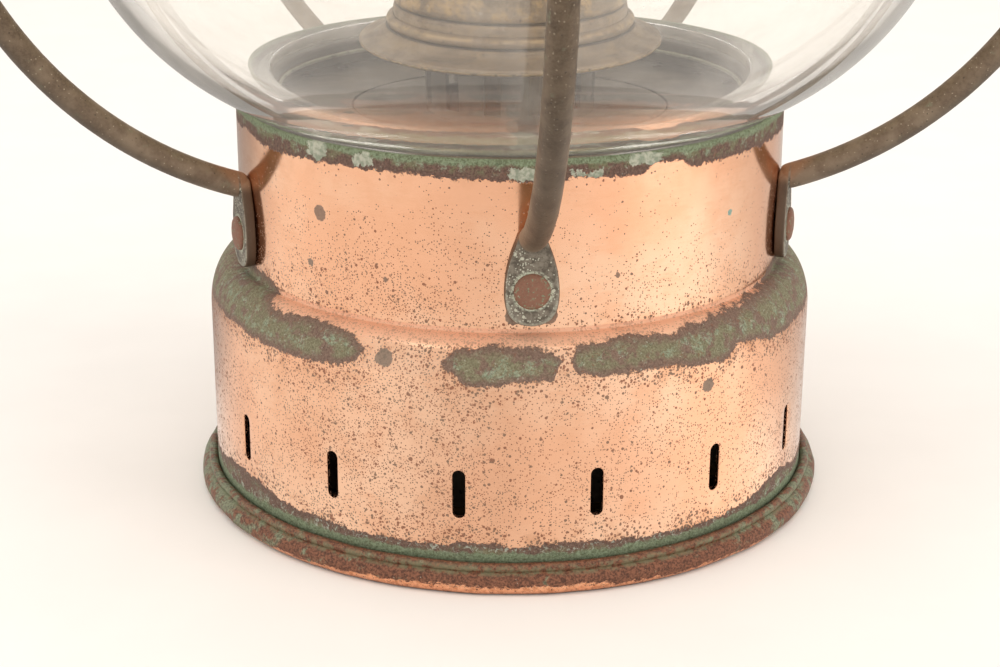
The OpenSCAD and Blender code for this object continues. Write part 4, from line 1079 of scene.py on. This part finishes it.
def burner():
    flange = [(30.0, 113.0), (29.4, 112.3), (29.8, 111.9), (34, 111.9), (37.2, 111.9)]
    flange += arc(37.7, 112.8, 0.9, -90, 60, 8) + [(37.3, 113.75), (36.4, 114.0), (35.5, 114.2), (34.6, 114.55), (33.8, 114.95),
                                                   (33.1, 115.4), (32.4, 116.0), (31.95, 116.55), (31.5, 116.85), (31.0, 117.0)]
    flange += arc(30.1, 118.2, 1.45, -52, 75, 14) + [(30.1, 119.85), (29.85, 119.9), (29.8, 119.3), (29.8, 113.4)]
    collar_in = rounded([(20, 111.9, 0.2), (31, 111.9), (31, 112.9), (20, 112.9, 0.2)])
    build("burner_flange", [lathe(flange, 192), lathe(collar_in, 96)], "font_and_burner", burner_mat,
          ["burner_skirt"], ripple=hammered(0.04, 10.0, 15.0), weld=False)
    wall = [(28.8, 113.1), (29.7, 113.1), (29.7, 121.6), (29.55, 122.2), (28.95, 122.6), (28.9, 122.9), (29.3, 123.1), (29.55, 123.5),
            (29.5, 124.9)]
    lining = [(28.5, 124.9), (28.4, 124.0), (28.2, 123.1), (28.3, 122.2), (28.8, 121.4), (28.8, 113.1)]
    band_a = pierced(29.5, 28.5, 124.9, 133.75, 24, 0, 2.6, 2.6, 131.5, nx=8, nz=6, layers=3, rim=0.18)
    band_b = pierced(29.5, 28.5, 133.75, 139.0, 24, 7.5, 2.6, 2.6, 136.0, nx=8, nz=6, layers=3, rim=0.18)
    lid = [(29.5, z) for z in (139, 143, 147, 148.8)] + [(29.3, 149.5), (28.8, 149.95), (28.4, 150), (13, 150), (13, 149.2), (28.0, 149.2),
                                                         (28.5, 148.6), (28.5, 143), (28.5, 139)]
    shell = raw_mesh("drum", [band_a, band_b] + [lathe(part, 192, False) for part in (lid, wall, lining)])
    piece("burner_air_drum", shell, "font_and_burner", burner_mat, ["burner_drum"], sharp=45)
    base = rounded([(19, 150, 0.3), (30.5, 150, 0.5), (30.5, 151.4, 0.5), (27.6, 151.4), (27.6, 156, 0.2), (26.6, 156, 0.2), (26.6, 151.4), (19, 151.4, 0.3)], 3)
    parts = [lathe(base, 144)]
    for k in range(6):
        t0 = math.radians(30 + 60 * k)
        verts, rows, cols = [], 11, 9
        for side in (0, 1):
            for i in range(rows):
                f = i / (rows - 1)
                z = 155.6 + 12.3 * f
                half = math.radians(6.2) * (1 if f < 0.8 else math.sqrt(max(0.06, 1 - ((f - 0.8) / 0.205) ** 2)))
                r = 26.6 + side * 1.0 + (0.0 if f < 0.7 else 1.6 * ((f - 0.7) / 0.3) ** 2)
                verts += [at(r, t0 + half * (2 * j / (cols - 1) - 1), z) for j in range(cols)]
        faces = []
        for side in (0, 1):
            b = side * rows * cols
            faces += [(b + i * cols + j, b + i * cols + j + 1, b + (i + 1) * cols + j + 1, b + (i + 1) * cols + j)
                      for i in range(rows - 1) for j in range(cols - 1)]
        o = rows * cols
        for i in range(rows - 1):
            for j in (0, cols - 1):
                faces.append((i * cols + j, (i + 1) * cols + j, o + (i + 1) * cols + j, o + i * cols + j))
        for j in range(cols - 1):
            for i in (0, rows - 1):
                faces.append((i * cols + j, i * cols + j + 1, o + i * cols + j + 1, o + i * cols + j))
        parts.append((verts, faces))
    build("chimney_gallery", parts, "font_and_burner", burner_mat, ["gallery"])


def knob():
    """Milled wick knob: rounded teeth round a dished disc."""
    n = 192
    rings = [(0.001, 49.0, 0), (3.4, 49.0, 0), (4.0, 49.5, 0), (4.0, 51.2, 0), (4.6, 51.9, 0), (6.9, 52.0, 0), (7.7, 52.5, 1), (7.95, 53.2, 1), (7.95, 56.4, 1),
             (7.7, 57.1, 1), (6.9, 57.45, 0), (6.1, 57.5, 0), (5.6, 57.2, 0), (4.4, 56.9, 0), (2.6, 56.9, 0), (2.2, 57.2, 0), (0.001, 57.3, 0)]
    verts = []
    for r, x, tooth in rings:
        for j in range(n):
            a = TAU * j / n
            rr = r - tooth * 0.42 * (0.5 - 0.5 * math.cos(24 * a)) ** 2
            verts.append((x, -15.2 + rr * math.sin(a), 141 + rr * math.cos(a)))
    build("wick_wheel_knob", [(verts, quads(len(rings), n, True, False))], "wick_winder", fitting_mat, ["wick_knob"], sharp=50)


def wick():
    """Flat-woven wick rolled round the inner tube, open at the back, with a frayed edge."""
    verts, rows, cols = [], 60, 120
    gap = math.radians(17)
    for side, r in ((0, 8.6), (1, 10.5)):
        for i in range(rows):
            z = 60 + 103 * i / (rows - 1)
            for j in range(cols):
                f = j / (cols - 1)
                t = math.pi + gap + (TAU - 2 * gap) * f
                fray = 0.35 * noise.noise(Vector((j * 0.9, side * 3.0, 4.0))) if i == rows - 1 else 0
                d = 0.05 * math.sin(j * 1.6) * (1 if side else -1)
                verts.append(at(r + d, t, z - abs(fray)))
    o = rows * cols
    faces = []
    for side in (0, 1):
        b = side * o
        faces += [(b + i * cols + j, b + i * cols + j + 1, b + (i + 1) * cols + j + 1, b + (i + 1) * cols + j)
                  for i in range(rows - 1) for j in range(cols - 1)]
    for i in range(rows - 1):
        for j in (0, cols - 1):
            faces.append((i * cols + j, (i + 1) * cols + j, o + (i + 1) * cols + j, o + i * cols + j))
    for j in range(cols - 1):
        for i in (0, rows - 1):
            faces.append((i * cols + j, i * cols + j + 1, o + i * cols + j + 1, o + i * cols + j))
    build("woven_wick", [(verts, faces)], "wick_body", wick_mat, ["wick"], sharp=50)


base_shell()
foot_ring()
neck_inside()
globe()
chimney()
guard()
rivets("neck_rivets", 69.75, 68.4, 72.3, "lower_rivets", 3.2)
rivets("collar_rivets", 60.15, 58.4, 290.8, "upper_rivets", 2.0)
collar()
bail()
hood()
burner()
knob()
wick()

# CAD nodes that keep their own meshes, with a procedural finish
CARRIED = {
    brown_mat: ["font_retainer", "heat_baffle"],
    font_mat: ["font_base", "font_grip"],
    shaded_brass_mat: ["font_body", "font_collar", "filler_cap", "burner_base"],
    plate_mat: ["draught_plate"],
    burner_mat: ["wick_tube", "wick_spindle"],
    fitting_mat: ["hinge_leaf_fixed", "hinge_leaf_moving", "hinge_pin", "hood_clasp", "clasp_stud"],
}
for mat, names in CARRIED.items():
    for name in names:
        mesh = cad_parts[name].data
        mesh.materials.clear()
        mesh.materials.append(mat)


# ---------------------------------------------------------------- studio

def studio():
    floor_mat = Graph("studio_floor")
    spot = floor_mat.step(floor_mat.noise(30.0, 2, 0.5, 3), 0.3, 0.7)
    shade = floor_mat.mix(spot, (0.90, 0.865, 0.825), (0.915, 0.88, 0.84))
    mat = floor_mat.done(floor_mat.shade(shade, 0.75, 0.0))
    bm = bmesh.new()
    bmesh.ops.create_grid(bm, x_segments=8, y_segments=8, size=6.0)
    mesh = bpy.data.meshes.new("floor")
    bm.to_mesh(mesh)
    bm.free()
    floor = bpy.data.objects.new("studio_floor", mesh)
    floor.data.materials.append(mat)
    bpy.context.scene.collection.objects.link(floor)

    world = bpy.data.worlds.new("studio")
    bpy.context.scene.world = world
    world.use_nodes = True
    world.node_tree.nodes["Background"].inputs[0].default_value = (1.0, 0.972, 0.94, 1)
    world.node_tree.nodes["Background"].inputs[1].default_value = 0.95

    def soft_box(name, where, to, size, power, color=(1, 0.97, 0.93)):
        light = bpy.data.lights.new(name, "AREA")
        light.shape = "RECTANGLE"
        light.size, light.size_y = size
        light.energy = power
        light.color = color
        obj = bpy.data.objects.new(name, light)
        obj.location = where
        obj.rotation_euler = (Vector(to) - Vector(where)).to_track_quat("-Z", "Y").to_euler()
        obj.visible_camera = False
        bpy.context.scene.collection.objects.link(obj)
        return obj

    soft_box("top_box", (0.0, 0.1, 1.5), (0, 0, 0), (1.6, 1.6), 7)
    for name, where, power in (("left_box", (-1.3, -0.5, 0.7), 5), ("right_box", (1.2, -0.8, 0.7), 7)):
        soft_box(name, where, (0, 0, 0.15), (1.0, 1.2), power).visible_glossy = False

    # a ring of white card lying on the floor, seen only in reflections, brighter at the sides than at front and back
    g = Graph("light_card")
    level = g.round_curve([(-142, 0.45), (-120, 0.70), (-100, 1.02), (-70, 1.00), (-38, 0.99), (-13, 0.92), (5, 0.96), (33, 1.10),
                           (61, 1.34), (85, 1.04), (113, 0.80), (138, 0.68)], 0, 2)
    glow = g.new("ShaderNodeEmission")
    glow.inputs[0].default_value = (1.0, 0.955, 0.905, 1)
    g.put(glow.inputs[1], level)
    ring = raw_mesh("light_card", [([at(r, TAU * j / 96, 0.4) for r in (85, 250, 900) for j in range(96)], quads(3, 96, True, False))])
    card = bpy.data.objects.new("light_card", ring)
    ring.materials.append(g.done(glow.outputs[0]))
    bpy.context.scene.collection.objects.link(card)
    for kind in ("camera", "diffuse", "transmission", "shadow", "volume_scatter"):
        setattr(card, "visible_" + kind, False)


def camera():
    cam = bpy.data.cameras.new("camera")
    cam.lens = 73.8
    cam.sensor_width = 36
    cam.clip_end = 50
    obj = bpy.data.objects.new("camera", cam)
    turn = Matrix.Rotation(math.radians(-3.19), 4, "Z") @ Matrix.Rotation(math.radians(70.32), 4, "X") @ Matrix.Rotation(0.0025, 4, "Z")
    obj.matrix_world = Matrix.Translation((-0.0310, -0.5131, 0.2202)) @ turn
    bpy.context.scene.collection.objects.link(obj)
    bpy.context.scene.camera = obj


studio()
camera()
bpy.context.scene.view_settings.view_transform = "Standard"
